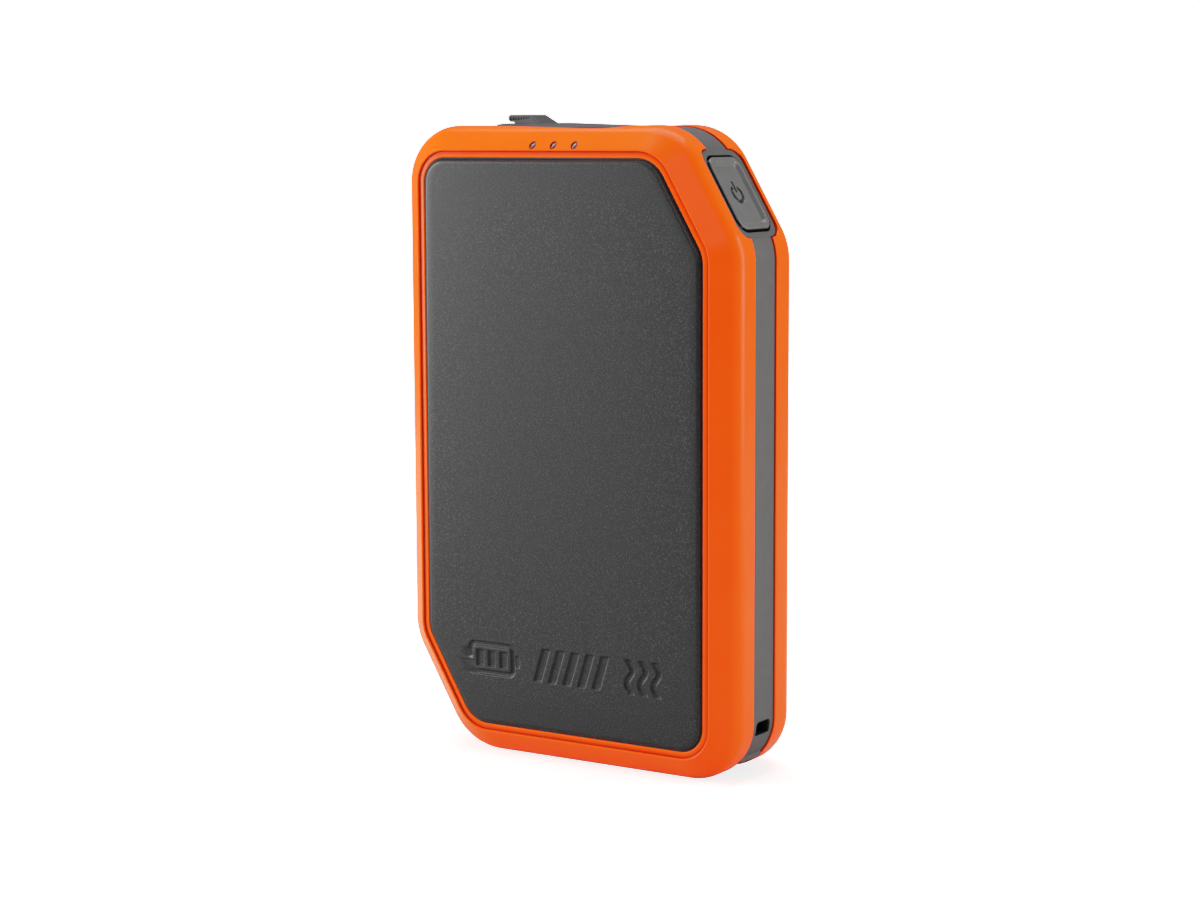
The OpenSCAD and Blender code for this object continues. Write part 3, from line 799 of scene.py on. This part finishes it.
def build_bumpers():
    front = bumper("front_bumper_shell", upright, THREAD_BORE_R)
    for point in lamp_places():
        hole = disc_tool("hole", point, LAMP_HOLE_R, LEDGE_BACK - 1, PANEL_FACE + 2, upright)
        cut(front, hole)
    back = bumper("rear_bumper_shell", rear, SHANK_BORE_R)
    for shell, node in ((front, "front_bumper"), (back, "rear_bumper")):
        even_normals(shell)
        finish_piece(shell, "housing", "bumper_orange", node)


# ---------------------------------------------------------------- capped shapes

def dense_span(low, high, pitch):
    return list(np.linspace(low, high, max(2, int((high - low) / pitch) + 1)))


def grid_cap(samples, rows, fractions, height, rim, place):
    """A shape with a gridded face inside an outline and a rim that falls away around it.

    rows are extra heights for grid rows, fractions are the columns' places from 0 to 1,
    height(x, z) is the face's depth, and rim is a list of (outwards, depth, relative).
    """
    table = np.array(samples)
    bottom, top = table[:, 1].min(), table[:, 1].max()
    right = table[table[:, 2] >= -1e-9]
    left = table[table[:, 2] <= 1e-9]
    right = right[np.argsort(right[:, 1], kind="stable")]
    left = left[np.argsort(left[:, 1], kind="stable")]
    flat_low = np.abs(table[:, 3] + 1) < 1e-9
    flat_high = np.abs(table[:, 3] - 1) < 1e-9
    ends = {bottom: table[flat_low, 0], top: table[flat_high, 0]}
    levels = sorted(set(np.round(np.concatenate([table[:, 1], rows, [bottom, top]]), 4)))
    levels = [z for z in levels if bottom - 1e-6 <= z <= top + 1e-6]
    kept = [levels[0]]
    for z in levels[1:]:
        if z - kept[-1] > 0.02:
            kept.append(z)
    kept[0], kept[-1] = bottom, top
    fractions = np.array(fractions)

    def side(run, z, column):
        return np.interp(z, run[:, 1], run[:, column])

    edge_right = right[(np.abs(right[:, 3]) < 1 - 1e-9) | (right[:, 0] > right[:, 0].mean())]
    verts, boundary = [], {}
    for j, z in enumerate(kept):
        if z in ends and len(ends[z]):
            x0, x1 = ends[z].min(), ends[z].max()
            n0 = n1 = (0.0, -1.0 if z == bottom else 1.0)
        else:
            x0, x1 = side(left, z, 0), side(edge_right, z, 0)
            n0 = (side(left, z, 2), side(left, z, 3))
            n1 = (side(edge_right, z, 2), side(edge_right, z, 3))
        xs = x0 + fractions * (x1 - x0)
        verts.extend((x, z) for x in xs)
        boundary[j] = (n0, n1)
    columns, count = len(fractions), len(kept)
    flat = np.array(verts)
    depths = height(flat[:, 0], flat[:, 1])
    points = [place(x, z, d) for (x, z), d in zip(verts, depths)]
    faces = []
    for j in range(count - 1):
        for i in range(columns - 1):
            a = j * columns + i
            faces.append((a, a + 1, a + columns + 1, a + columns))
    around = [(i, (0.0, -1.0)) for i in range(columns)]
    around += [(j * columns + columns - 1, boundary[j][1]) for j in range(1, count - 1)]
    around += [((count - 1) * columns + i, (0.0, 1.0)) for i in range(columns - 1, -1, -1)]
    around += [(j * columns, boundary[j][0]) for j in range(count - 2, 0, -1)]
    previous = [i for i, _ in around]
    for outwards, depth, relative in rim:
        start = len(points)
        for index, (nx, nz) in around:
            x, z = verts[index]
            level = depths[index] + depth if relative else depth
            points.append(place(x + nx * outwards, z + nz * outwards, level))
        ring = list(range(start, start + len(around)))
        for i in range(len(ring)):
            k = (i + 1) % len(ring)
            faces.append((previous[i], previous[k], ring[k], ring[i]))
        previous = ring
    faces.append(tuple(previous))
    return points, faces


def roll(radius, count=7):
    """Rim of a quarter-round edge: outwards and down, relative to the face."""
    return [(radius * math.sin(a), -radius * (1 - math.cos(a)), True)
            for a in np.linspace(0, math.pi / 2, count)[1:]]


# ---------------------------------------------------------------- panels

# The debossed sign: a battery, five slanted level bars and three heat waves
SIGN_Z = 18.9 - HALF_H
SIGN_H = 6.4
SIGN_X0 = -21.0
SIGN_DEPTH = 0.38
SIGN_STROKE = 0.9
SIGN_EDGE = 0.13
BATTERY_HALF_W = 5.4
BATTERY_BARS = (-2.7, 0.0, 2.7)
LEVEL_BARS_X = 17.0
LEVEL_BAR_PITCH = 3.3
LEVEL_BAR_SLANT = 0.32
HEAT_WAVES_X = 36.6
HEAT_WAVE_PITCH = 2.9
HEAT_WAVE_SWING = 0.62
HEAT_WAVE_LENGTH = 5.2


def rounded_box_distance(x, z, half_w, half_h, radius):
    qx = np.abs(x) - half_w + radius
    qz = np.abs(z) - half_h + radius
    outside = np.hypot(np.maximum(qx, 0), np.maximum(qz, 0))
    return outside + np.minimum(np.maximum(qx, qz), 0) - radius


def sunk(distance, edge, depth):
    """Depth inside a sign whose walls slope over edge on each side of its outline."""
    t = np.clip((edge - distance) / (2 * edge), 0, 1)
    return depth * t * t * (3 - 2 * t)


def battery_distance(x, z):
    half = SIGN_STROKE / 2
    case = rounded_box_distance(x, z, BATTERY_HALF_W - half, SIGN_H / 2 - half, 1.0)
    nub = rounded_box_distance(x - BATTERY_HALF_W - 0.5, z, 0.55, 1.1, 0.3)
    bars = [rounded_box_distance(x - c, z, 0.8, 1.55, 0.2) for c in BATTERY_BARS]
    return np.minimum.reduce([np.abs(case) - half, nub, *bars])


def level_bars_distance(x, z):
    slanted = x - LEVEL_BAR_SLANT * z
    bars = [rounded_box_distance(slanted - LEVEL_BAR_PITCH * k, z, 0.85, SIGN_H / 2, 0.25)
            for k in range(5)]
    return np.minimum.reduce(bars)


def heat_waves_distance(x, z):
    swing, wave = HEAT_WAVE_SWING, 2 * math.pi / HEAT_WAVE_LENGTH
    waves = []
    for k in range(3):
        offset = x - HEAT_WAVE_PITCH * k - swing * np.sin(wave * z)
        slope = np.sqrt(1 + (swing * wave * np.cos(wave * z)) ** 2)
        waves.append(np.maximum(np.abs(offset) / slope - 0.5, np.abs(z) - SIGN_H / 2))
    return np.minimum.reduce(waves)


def sign_depth(x, z):
    dz = z - SIGN_Z
    distance = np.minimum.reduce([
        battery_distance(x - SIGN_X0 - BATTERY_HALF_W, dz),
        level_bars_distance(x - SIGN_X0 - LEVEL_BARS_X, dz),
        heat_waves_distance(x - SIGN_X0 - HEAT_WAVES_X, dz)])
    return sunk(distance, SIGN_EDGE, SIGN_DEPTH)


PILLOW_X = (30.6, 0.12)
PILLOW_Z = (54.0, 0.22)
PANEL_ROLL = 0.9


def pillow(x, z):
    """How far the panel's face falls away from its middle: a reach and the drop there."""
    return (PILLOW_Z[1] * np.abs(z / PILLOW_Z[0]) ** 4
            + PILLOW_X[1] * np.abs(x / PILLOW_X[0]) ** 4)


def panel(name, place, signed):
    samples = BODY.samples(inset=RIM_W + PANEL_ROLL, step=math.radians(5), straight=3.0)
    fractions = set(np.linspace(0, 1, 41))
    rows = []
    if signed:
        fractions |= set(dense_span(0.12, 0.97, 0.0022))
        rows = dense_span(SIGN_Z - SIGN_H / 2 - 0.5, SIGN_Z + SIGN_H / 2 + 0.5, 0.13)

    def height(x, z):
        face = PANEL_FACE - pillow(x, z)
        return face - sign_depth(x, z) if signed else face

    rim = roll(PANEL_ROLL) + [(PANEL_ROLL, PANEL_BACK + 0.1, False),
                              (PANEL_ROLL - 0.1, PANEL_BACK, False)]
    return make_object(name, *grid_cap(samples, rows, sorted(fractions), height, rim, place))


def build_panels():
    for node, place, signed in (("front_panel", upright, True), ("rear_panel", rear, False)):
        plate = panel(node + "_plate", place, signed)
        finish_piece(plate, "housing", "panel_grey", node)


# ---------------------------------------------------------------- middle frame

def band_section():
    points = [(BAND_RECESS, -BAND_HALF), (BAND_RECESS, BAND_HALF), (WALL + SEAM, BAND_HALF),
              (WALL + SEAM, SPIGOT_DEPTH), (CAVITY_IN, SPIGOT_DEPTH),
              (CAVITY_IN, -SPIGOT_DEPTH), (WALL + SEAM, -SPIGOT_DEPTH),
              (WALL + SEAM, -BAND_HALF)]
    return filleted(points, [0.12, 0.12, 0, 0.15, 0.15, 0.15, 0.15, 0], 2)


def run_between(samples, first, last):
    """Samples from the one nearest first to the one nearest last, going anticlockwise."""
    table = np.array(samples)[:, :2]
    i0 = int(np.argmin(np.linalg.norm(table - first, axis=1)))
    i1 = int(np.argmin(np.linalg.norm(table - last, axis=1)))
    if i1 < i0:
        i1 += len(samples)
    return [samples[i % len(samples)] for i in range(i0, i1 + 1)]


def band_ends():
    """Outline points where the band meets each end of each bay, a little inside it."""
    inside = 0.45
    ends = {}
    for edge, (middle, half_length, _, _) in BAYS.items():
        reach = (half_length - inside) * forwards(BODY.angles[edge])
        ends[edge] = (middle - reach, middle + reach)
    return ends


def end_places(edge, start, end):
    if edge not in BAYS:
        return []
    length = float(np.linalg.norm(end - start))
    return [float(np.linalg.norm(p - start)) / length for p in band_ends()[edge]]


def box_mesh(low, high):
    x0, y0, z0 = low
    x1, y1, z1 = high
    loops = [[(x0, y0, z), (x1, y0, z), (x1, y1, z), (x0, y1, z)] for z in (z0, z1)]
    return loft(loops)


def box_tool(name, low, high):
    return make_object(name, *box_mesh(low, high), smooth=False)


def bezel(outer, inner, bottom, top, edge, place):
    """A rounded frame between two outlines that have the same corners."""
    def loop(outline, inset, height):
        return [place(x, y, height) for x, y, _, _ in
                outline.samples(inset=inset, step=math.radians(9), straight=0)]

    turns = np.linspace(0, math.pi / 2, 5)
    loops = [loop(outer, 0, bottom)]
    loops += [loop(outer, edge * (1 - math.cos(a)), top - edge + edge * math.sin(a))
              for a in turns]
    loops += [loop(inner, -edge * (1 - math.sin(a)), top - edge + edge * math.cos(a))
              for a in turns]
    loops += [loop(inner, 0, top - SHADE_TOP), loop(inner, 0, bottom)]
    return loft(loops, closed=True)


def build_band():
    samples = BODY.samples(extra=end_places)
    ends = band_ends()
    upper = run_between(samples, ends[CUT_EDGE][1], ends[TOP_EDGE][0])
    lower = run_between(samples, ends[TOP_EDGE][1], ends[CUT_EDGE][0])
    section = band_section()
    upper_band = make_object("band", *swept(upper, [section] * len(upper), upright, False))
    lower_band = make_object("lower", *swept(lower, [section] * len(lower), upright, False))
    lanyard(lower_band)
    cut(upper_band, lower_band, "UNION")
    return upper_band


LANYARD_Z = 8.0
LANYARD_H = 2.6
LANYARD_HALF = 2.6
LANYARD_X = HALF_W - 9.2
LANYARD_MOUTH = HALF_W - 0.9


def lanyard(band):
    """Corner block and the strap tunnel through it, from the side to the underside."""
    half = BAND_HALF - 0.05
    block = box_tool("block", (LANYARD_X - 1.4, -half, 2.9), (HALF_W - 3, half, 12))
    below = box_tool("below", (LANYARD_X, -LANYARD_HALF, -1),
                     (LANYARD_X + LANYARD_H, LANYARD_HALF, LANYARD_Z + 1))
    cut(band, block, "UNION")
    cut(band, rounded_slot((LANYARD_X, LANYARD_MOUTH, HALF_W + 1)))
    cut(band, below)


def rounded_slot(span):
    """Cutter for the side slot, whose two upper corners are rounded."""
    half, low, high = LANYARD_HALF, LANYARD_Z, LANYARD_Z + LANYARD_H
    outline = Outline([(half, low), (half, high), (-half, high), (-half, low)],
                      [0.15, 0.9, 0.9, 0.15])
    ring = outline.samples(step=math.radians(10), straight=0)
    return make_object("slot", *loft([[(x, y, z) for y, z, _, _ in ring] for x in span]),
                       smooth=False)


def button_rect(past, radius):
    """The button's outline, grown on every side by a distance."""
    return rounded_rect(BUTTON_L + 2 * past, BUTTON_W + 2 * past, radius, (BUTTON_X, 0))


def button_frame():
    flare = MOVING_GAP + 0.12
    outer = rounded_rect(BEZEL_L, BEZEL_W, BEZEL_R, (BUTTON_X, 0))
    inner = button_rect(flare, BUTTON_R + flare)
    return joined(bezel(outer, inner, -BEZEL_T, BEZEL_TOP, 0.15, on_cut),
                  bezel(button_rect(2.05, 3.0), button_rect(0.85, 2.8), -SEAT_DEPTH, -BEZEL_T,
                        0.1, on_cut))


def port_frame():
    middle = (BAY_X0 + BAY_X1) / 2
    length = BAY_X1 - BAY_X0
    outer = rounded_rect(length + 2 * BAY_RIM, 2 * (BAY_HALF + BAY_RIM), BAY_R, (middle, 0))
    inner = rounded_rect(length, 2 * BAY_HALF, BAY_R - 1.6, (middle, 0))
    return bezel(outer, inner, TRAY_TOP - BODY_H - 0.3, -0.05, 0.2, on_top)


def port_tray():
    tray = box_tool("tray", (BAY_X0 - TRAY_PAST_BAY, -TRAY_HALF, TRAY_BOTTOM),
                    (BAY_X1 + TRAY_PAST_BAY, TRAY_HALF, TRAY_TOP))
    past = np.array([SOCKET_GAP, SOCKET_GAP, 3])
    for node in ("usb_a_shell", "micro_usb_shell"):
        low, high = node_box(node)
        cut(tray, box_tool("hole", low - past, high + past))
    return soften(tray, 0.25)


def build_mid_frame():
    band = build_band()
    bezels = make_object("bezels", *joined(button_frame(), port_frame()))
    tray = port_tray()
    for other in (bezels, tray):
        merge(band, other)
    band.name = "mid_frame_shell"
    even_normals(band)
    paint_points(band, bore_paint)
    finish_piece(band, "housing", "band_grey", "mid_frame")


def merge(obj, other):
    """Adds another object's faces to obj, as they are."""
    bm = bmesh.new()
    bm.from_mesh(obj.data)
    bm.from_mesh(other.data)
    bm.to_mesh(obj.data)
    bm.free()
    bpy.data.objects.remove(other)


# ---------------------------------------------------------------- button

STANDBY_R = 1.55
STANDBY_HALF_STROKE = 0.36
STANDBY_BAR_MIDDLE = 1.5
STANDBY_EDGE = 0.06
STANDBY_DEPTH = 0.28
DISH_IN = 1.3
DISH_DEPTH = 0.6
CROWN_R = 0.35
FLANGE = 0.525


def standby_depth(x, y):
    """Depth of the debossed standby sign: an open ring and a bar through its gap."""
    turned = -(x - BUTTON_X)
    ring = np.abs(np.hypot(turned, y) - STANDBY_R) - STANDBY_HALF_STROKE
    gap = np.abs(y) - np.maximum(turned, 0) * 0.55
    ring = np.maximum(ring, -gap)
    bar = rounded_box_distance(turned - STANDBY_BAR_MIDDLE, y, 1.15, 0.3, 0.15)
    return sunk(np.minimum(ring, bar), STANDBY_EDGE, STANDBY_DEPTH)


def build_button():
    """Cap with a dished face, a flange inside the housing and the stem under it."""
    floor = BUTTON_FACE - DISH_DEPTH
    start = 0.55
    samples = button_rect(-DISH_IN, 1.1).samples(inset=start, step=math.radians(6), straight=0.8)
    rows = dense_span(-2.4, 2.4, 0.06)

    def height(x, y):
        return floor - standby_depth(x, y)

    slope = [(out, floor + rise, False) for out, rise in
             ((0.12, 0.03), (0.25, 0.11), (0.6, 0.47), (0.72, 0.56), (0.88, DISH_DEPTH))]
    side = start + DISH_IN
    crown = [(side - CROWN_R + CROWN_R * math.sin(a),
              BUTTON_FACE - CROWN_R + CROWN_R * math.cos(a), False)
             for a in np.linspace(0, math.pi / 2, 6)]
    skirt = [(side + out, level, False) for out, level in
             ((0, BEZEL_TOP - 0.09), (0, BEZEL_TOP - 0.11), (0, -2.85), (FLANGE - 0.1, -2.85),
              (FLANGE, -2.95), (FLANGE, -3.45), (FLANGE - 0.1, -3.55))]
    cap = grid_cap(samples, rows, np.linspace(0, 1, 150), height, slope + crown + skirt, on_cut)
    obj = make_object("button_cap_shell", *joined(cap, stem_mesh()))
    paint_points(obj, button_paint)
    finish_piece(obj, "power_button", "button_grey", "button_cap")


def paint_points(obj, amount):
    """Stores how far each point is darkened by painted shade, from amount(x, y, z) in millimetres.
    """
    painted_shade = obj.data.attributes.new("painted_shade", "FLOAT", "POINT")
    for vertex, value in zip(obj.data.vertices, painted_shade.data):
        value.value = min(1.0, max(0.0, float(amount(*(np.array(vertex.co) / MM)))))


def in_cut_frame(x, y, z):
    """Along, across and out from the cut corner's face, the inverse of on_cut."""
    offset = np.array([x, z - HALF_H]) - CUT_MIDDLE
    return float(offset @ CUT_ALONG), y, float(offset @ CUT_NORMAL)


def button_paint(x, y, z):
    # Painted shade on the cap's sides, down in the gap round it, and in the debossed standby sign
    along, across, height = in_cut_frame(x, y, z)
    if height < BUTTON_FACE - 0.13 and not dish_holds(along, across):
        return 1.0
    return 10 * standby_depth(along, across)


def dish_holds(along, across):
    return abs(along - BUTTON_X) < BUTTON_L / 2 - 0.5 and abs(across) < BUTTON_W / 2 - 0.5


def bore_paint(x, y, z):
    """Shade on the inner walls of the button's bore and deep inside the strap slot."""
    along, across, height = in_cut_frame(x, y, z)
    near = abs(along - BUTTON_X) < BUTTON_L / 2 + 0.5 and abs(across) < BUTTON_W / 2 + 0.5
    if near and -BEZEL_T - 1 < height < BEZEL_TOP - SHADE_TOP + 0.01:
        return 1.0
    in_slot = abs(y) < LANYARD_HALF + 0.1 and 2 < z < LANYARD_Z + LANYARD_H + 0.1
    return 1.0 if in_slot and LANYARD_X - 1.8 < x < LANYARD_MOUTH + 0.1 else 0.0


def stem_mesh():
    radius = 1.6
    levels = [(radius, -3.4), (radius, -6.15), (radius - 0.15, -6.3)]
    return loft([[on_cut(x, y, h) for x, y in ring_points((BUTTON_X, 0), r)]
                 for r, h in levels])


# ---------------------------------------------------------------- port cover

TAB_X0 = -18.2
TAB_X1 = -13.05
TAB_FOOT_X = -10.3
TAB_HALF = 2.7
TAB_FOOT_HALF = 3.3
TAB_LIP = 1.3
TAB_EDGE = 0.22
RIB_COUNT = 8
RIB_PITCH = 0.6
RIB_R = 0.15
CROWN = 0.45


def crown_height(x):
    """Height of the flap's upper face above the body's top, along its length."""
    return np.interp(x, [COVER_X0, COVER_X0 + 1.2, -6.0, HINGE_X], [0.28, 0.42, 0.45, -0.05])


def flap_mesh():
    length = HINGE_X + 0.9 - COVER_X0
    middle = COVER_X0 + length / 2
    edge = 0.45
    flap = rounded_rect(length, 2 * COVER_HALF, 1.5, (middle, 0))
    samples = flap.samples(inset=edge, step=math.radians(9), straight=1.0)

    def height(x, y):
        return crown_height(x) - 0.25 * (np.abs(y) / COVER_HALF) ** 3

    rim = roll(edge, 5) + [(edge, COVER_BOTTOM + 0.15, False), (edge - 0.15, COVER_BOTTOM, False)]
    return grid_cap(samples, [], np.linspace(0, 1, 60), height, rim, on_top)


def tab_half_at(x):
    """Half of the tab's width, which grows along its ramp."""
    return float(np.interp(x, [TAB_X1, TAB_FOOT_X], [TAB_HALF, TAB_FOOT_HALF]))


def tab_mesh():
    """Pull tab: a flat top, a ramp down to the flap and a lip that a nail catches."""
    foot = CROWN - 0.2
    lip = COVER_TOP - TAB_LIP
    section = filleted(
        [(TAB_FOOT_X, foot), (TAB_X1, COVER_TOP), (TAB_X0, COVER_TOP), (TAB_X0, lip),
         (TAB_X0 + 1.2, lip), (TAB_X0 + 1.6, foot)],
        [0.0, 0.7, 0.5, 0.6, 0.2, 0.0], 5)
    loops = []
    for side, turns in ((-1, (90, 60, 30, 0)), (1, (0, 30, 60, 90))):
        for turn in turns:
            inset = TAB_EDGE * (1 - math.cos(math.radians(turn)))
            within = TAB_EDGE * (1 - math.sin(math.radians(turn)))
            loops.append([on_top(x, side * (tab_half_at(x) - within), h)
                          for x, h in inset_section(section, inset)])
    return loft(loops)


def inset_section(section, inset):
    """Moves a closed section's points inwards by a distance."""
    points = np.array(section)
    before = points - np.roll(points, 1, axis=0)
    after = np.roll(points, -1, axis=0) - points
    tangent = before / np.maximum(np.linalg.norm(before, axis=1, keepdims=True), 1e-9)
    tangent += after / np.maximum(np.linalg.norm(after, axis=1, keepdims=True), 1e-9)
    tangent /= np.linalg.norm(tangent, axis=1, keepdims=True)
    normal = np.stack([-tangent[:, 1], tangent[:, 0]], axis=1)
    area = np.sum(points[:, 0] * np.roll(points[:, 1], -1)
                  - np.roll(points[:, 0], -1) * points[:, 1])
    return points + normal * inset * (1 if area > 0 else -1)


def tab_side_paint(x, y, z):
    """Shade between the grip ribs, on the two sides of the tab."""
    height = z - BODY_H
    proud = abs(y) - tab_half_at(x)
    if height < 0.25 or proud < -0.02 or not TAB_X0 - 0.1 < x < TAB_FOOT_X - 0.2:
        return 0.0
    if proud < 0.08:
        return 1.0
    return 0.45 if height > CROWN + 0.05 else 0.0


def rib_meshes():
    """Upright grip ribs on both sides of the tab's lip."""
    top = COVER_TOP - 0.35
    low = COVER_TOP - TAB_LIP + 0.3
    ribs = []
    for side in (-1, 1):
        for k in range(RIB_COUNT):
            x = TAB_X0 + 0.55 + RIB_PITCH * k
            loops = []
            for h, r in ((low, 0.04), (low + RIB_R, RIB_R), (top - RIB_R, RIB_R), (top, 0.04)):
                y = side * (tab_half_at(x) - 0.02)
                loops.append([on_top(x + r * math.cos(a), y + r * math.sin(a), h)
                              for a in np.linspace(0, 2 * math.pi, 13)[:-1]])
            ribs.append(loft(loops))
    return ribs


def plug_mesh(x, y, length, width, drop):
    shape = rounded_rect(length, width, 0.4, (x, y))
    end = COVER_BOTTOM - drop
    levels = [(0, COVER_BOTTOM + 0.3), (0, end + 0.25), (0.08, end + 0.07), (0.25, end)]
    return loft([[on_top(px, py, h) for px, py, _, _ in
                  shape.samples(inset=i, step=math.radians(15), straight=0)]
                 for i, h in levels])


def knuckle_mesh():
    loops = []
    for radius, y in ((0.9, -COVER_HALF), (KNUCKLE_R, -COVER_HALF + 0.1),
                      (KNUCKLE_R, COVER_HALF - 0.1), (0.9, COVER_HALF),
                      (0.55, COVER_HALF), (0.55, -COVER_HALF)):
        loops.append([(x, y, z) for x, z in ring_points((HINGE_X, HINGE_Z), radius)])
    return loft(loops, closed=True)


def build_port_cover():
    cover = make_object("port_cover_shell", *flap_mesh())
    tab = make_object("tab", *tab_mesh())
    cut(cover, tab, "UNION")
    extras = make_object("extras", *joined(plug_mesh(1.1, -0.65, 10.6, 1.9, 1.9),
                                           plug_mesh(-13.5, 1.9, 5.8, 1.6, 1.1),
                                           knuckle_mesh(), *rib_meshes()))
    merge(cover, extras)
    even_normals(cover)
    paint_points(cover, tab_side_paint)
    finish_piece(cover, "port_cover", "cover_grey", "port_cover")


# ---------------------------------------------------------------- what stays as CAD

def slot_of(node):
    for entry in frame["record"]["subparts"]:
        if entry["node"] == node:
            return entry["material_slot"]
    return None


def body_of(node):
    for body, nodes in frame["record"]["behaviour"]["bodies"].items():
        if node in nodes:
            return body
    return None


REBUILT = {"front_bumper", "rear_bumper", "front_panel", "rear_panel", "mid_frame",
           "button_cap", "port_cover", "light_pipes"}
EDGE_WIDTH = {"lower_cell_cradle": 0.3, "upper_cell_cradle": 0.3, "cell_left": 0.5,
              "cell_middle": 0.5, "cell_right": 0.5, "power_inductor": 0.25,
              "capacitors": 0.2, "switch_body": 0.15, "usb_a_shell": 0.1,
              "micro_usb_shell": 0.1, "frame_screws": 0.12, "controller_chips": 0.08}
DEFAULT_EDGE = 0.06


def refined(node):
    """A copy of a CAD node with clean faces and softened edges."""
    source = frame["nodes"][node]
    bm = bmesh.new()
    bm.from_mesh(source.data)
    bmesh.ops.remove_doubles(bm, verts=bm.verts, dist=1e-6)
    bmesh.ops.dissolve_limit(bm, angle_limit=math.radians(1.0), verts=bm.verts, edges=bm.edges)
    mesh = bpy.data.meshes.new(node + "_part")
    bm.to_mesh(mesh)
    bm.free()
    obj = bpy.data.objects.new(node + "_part", mesh)
    bpy.context.scene.collection.objects.link(obj)
    soften(obj, EDGE_WIDTH.get(node, DEFAULT_EDGE))
    even_normals(obj)
    finish_piece(obj, body_of(node), slot_of(node), node)


def build_inner_parts():
    for node in frame["nodes"]:
        if node not in REBUILT:
            refined(node)


# ---------------------------------------------------------------- camera, light, floor

CAMERA_AIM = (0.608, 0.0, HALF_H - 1.313)
CAMERA_DISTANCE = 489.3
CAMERA_LENS = 76.91
CAMERA_TURN = (32.836, 7.239, -0.231)
# each pair: what the camera sees, and what every other ray meets
WORLD_LEVEL = (2.25, 0.2)
FLOOR_WHITE = (0.95, 0.62)
FLOOR_GLOW = (1.1, 0.0)
FLOOR_R = 600
FLOOR_SIDES = 96
FILM_WHITE = 2.2
FILM_POINTS = ((0.36, 0.80), (0.80, 0.875))


def studio_camera():
    """Camera to the right of the front and level with the top, as the object is seen."""
    target = Vector(CAMERA_AIM) * MM
    distance = CAMERA_DISTANCE * MM
    yaw, pitch, lean = [math.radians(angle) for angle in CAMERA_TURN]
    forward = Vector((-math.sin(yaw) * math.cos(pitch), math.cos(yaw) * math.cos(pitch),
                      -math.sin(pitch)))
    right = Vector((math.cos(yaw), math.sin(yaw), 0))
    up = right.cross(forward)
    leaned_right = right * math.cos(lean) + up * math.sin(lean)
    leaned_up = up * math.cos(lean) - right * math.sin(lean)
    data = bpy.data.cameras.new("studio_camera")
    data.sensor_width = 36
    data.lens = CAMERA_LENS
    data.clip_start = 0.01
    camera = bpy.data.objects.new("studio_camera", data)
    bpy.context.scene.collection.objects.link(camera)
    axes = Matrix((leaned_right, leaned_up, -forward)).transposed().to_4x4()
    camera.matrix_world = Matrix.Translation(target - forward * distance) @ axes
    bpy.context.scene.camera = camera


def area_light(name, place, aim, size, power, colour=(1, 1, 1)):
    data = bpy.data.lights.new(name, "AREA")
    data.shape = "RECTANGLE"
    data.size, data.size_y = size
    data.energy = power
    data.color = colour
    light = bpy.data.objects.new(name, data)
    bpy.context.scene.collection.objects.link(light)
    light.location = place
    direction = Vector(aim) - Vector(place)
    light.rotation_mode = "QUATERNION"
    light.rotation_quaternion = direction.to_track_quat("-Z", "Y")


def camera_only(tree, seen, otherwise):
    """A value that is one thing to the camera and another to every other ray."""
    rays = new_node(tree, "LightPath")
    level = new_node(tree, "MapRange", To_Min=otherwise, To_Max=seen)
    tree.links.new(rays.outputs["Is Camera Ray"], level.inputs["Value"])
    return level.outputs["Result"]


def studio_light():
    middle = (0, 0, HALF_H * MM)
    area_light("left_softbox", (-0.56, -0.34, 0.24), middle, (0.32, 0.50), 8.5)
    area_light("front_fill", (0.45, -0.75, 0.75), middle, (0.60, 0.60), 4.0)
    area_light("right_strip", (0.70, 0.42, 0.16), middle, (0.28, 0.80), 9.5, (1.0, 0.97, 0.92))
    area_light("top_softbox", (-0.1, 0.15, 0.90), middle, (0.80, 0.60), 10.0)
    world = bpy.data.worlds.new("studio")
    bpy.context.scene.world = world
    world.use_nodes = True
    tree = world.node_tree
    background = tree.nodes["Background"]
    fill(background, Color=(1, 1, 1, 1))
    tree.links.new(camera_only(tree, *WORLD_LEVEL), background.inputs["Strength"])


def film_response():
    """Bright tones are held back as on film: 0.8 and up is drawn out over a wider range."""
    settings = bpy.context.scene.view_settings
    settings.view_transform = "Standard"
    settings.use_curve_mapping = True
    mapping = settings.curve_mapping
    mapping.white_level = (FILM_WHITE, FILM_WHITE, FILM_WHITE)
    curve = mapping.curves[3]
    for point in FILM_POINTS:
        curve.points.new(*point)
    for point in curve.points:
        point.handle_type = "VECTOR"
    mapping.update()


def studio_floor():
    """A round white floor, brighter to the camera than to the object standing on it."""
    ring = ring_points((0, 0), FLOOR_R, FLOOR_SIDES)
    face = tuple(range(FLOOR_SIDES))
    floor = make_object("studio_floor", [(x, y, 0) for x, y in ring], [face])
    s = Surface("floor_white", roughness=0.9, specular=0.1)
    shade = new_node(s.tree, "CombineColor")
    level = camera_only(s.tree, *FLOOR_WHITE)
    for channel in ("Red", "Green", "Blue"):
        s.link(level, shade.inputs[channel])
    s.link(shade.outputs["Color"], s.shader.inputs["Base Color"])
    fill(s.shader, Emission_Color=(1, 1, 1, 1))
    s.link(camera_only(s.tree, *FLOOR_GLOW), s.shader.inputs["Emission Strength"])
    floor.data.materials.append(s.material)


def main():
    studio_camera()
    studio_light()
    studio_floor()
    film_response()
    build_bumpers()
    build_panels()
    build_mid_frame()
    build_button()
    build_port_cover()
    build_light_pipes()
    build_inner_parts()


main()
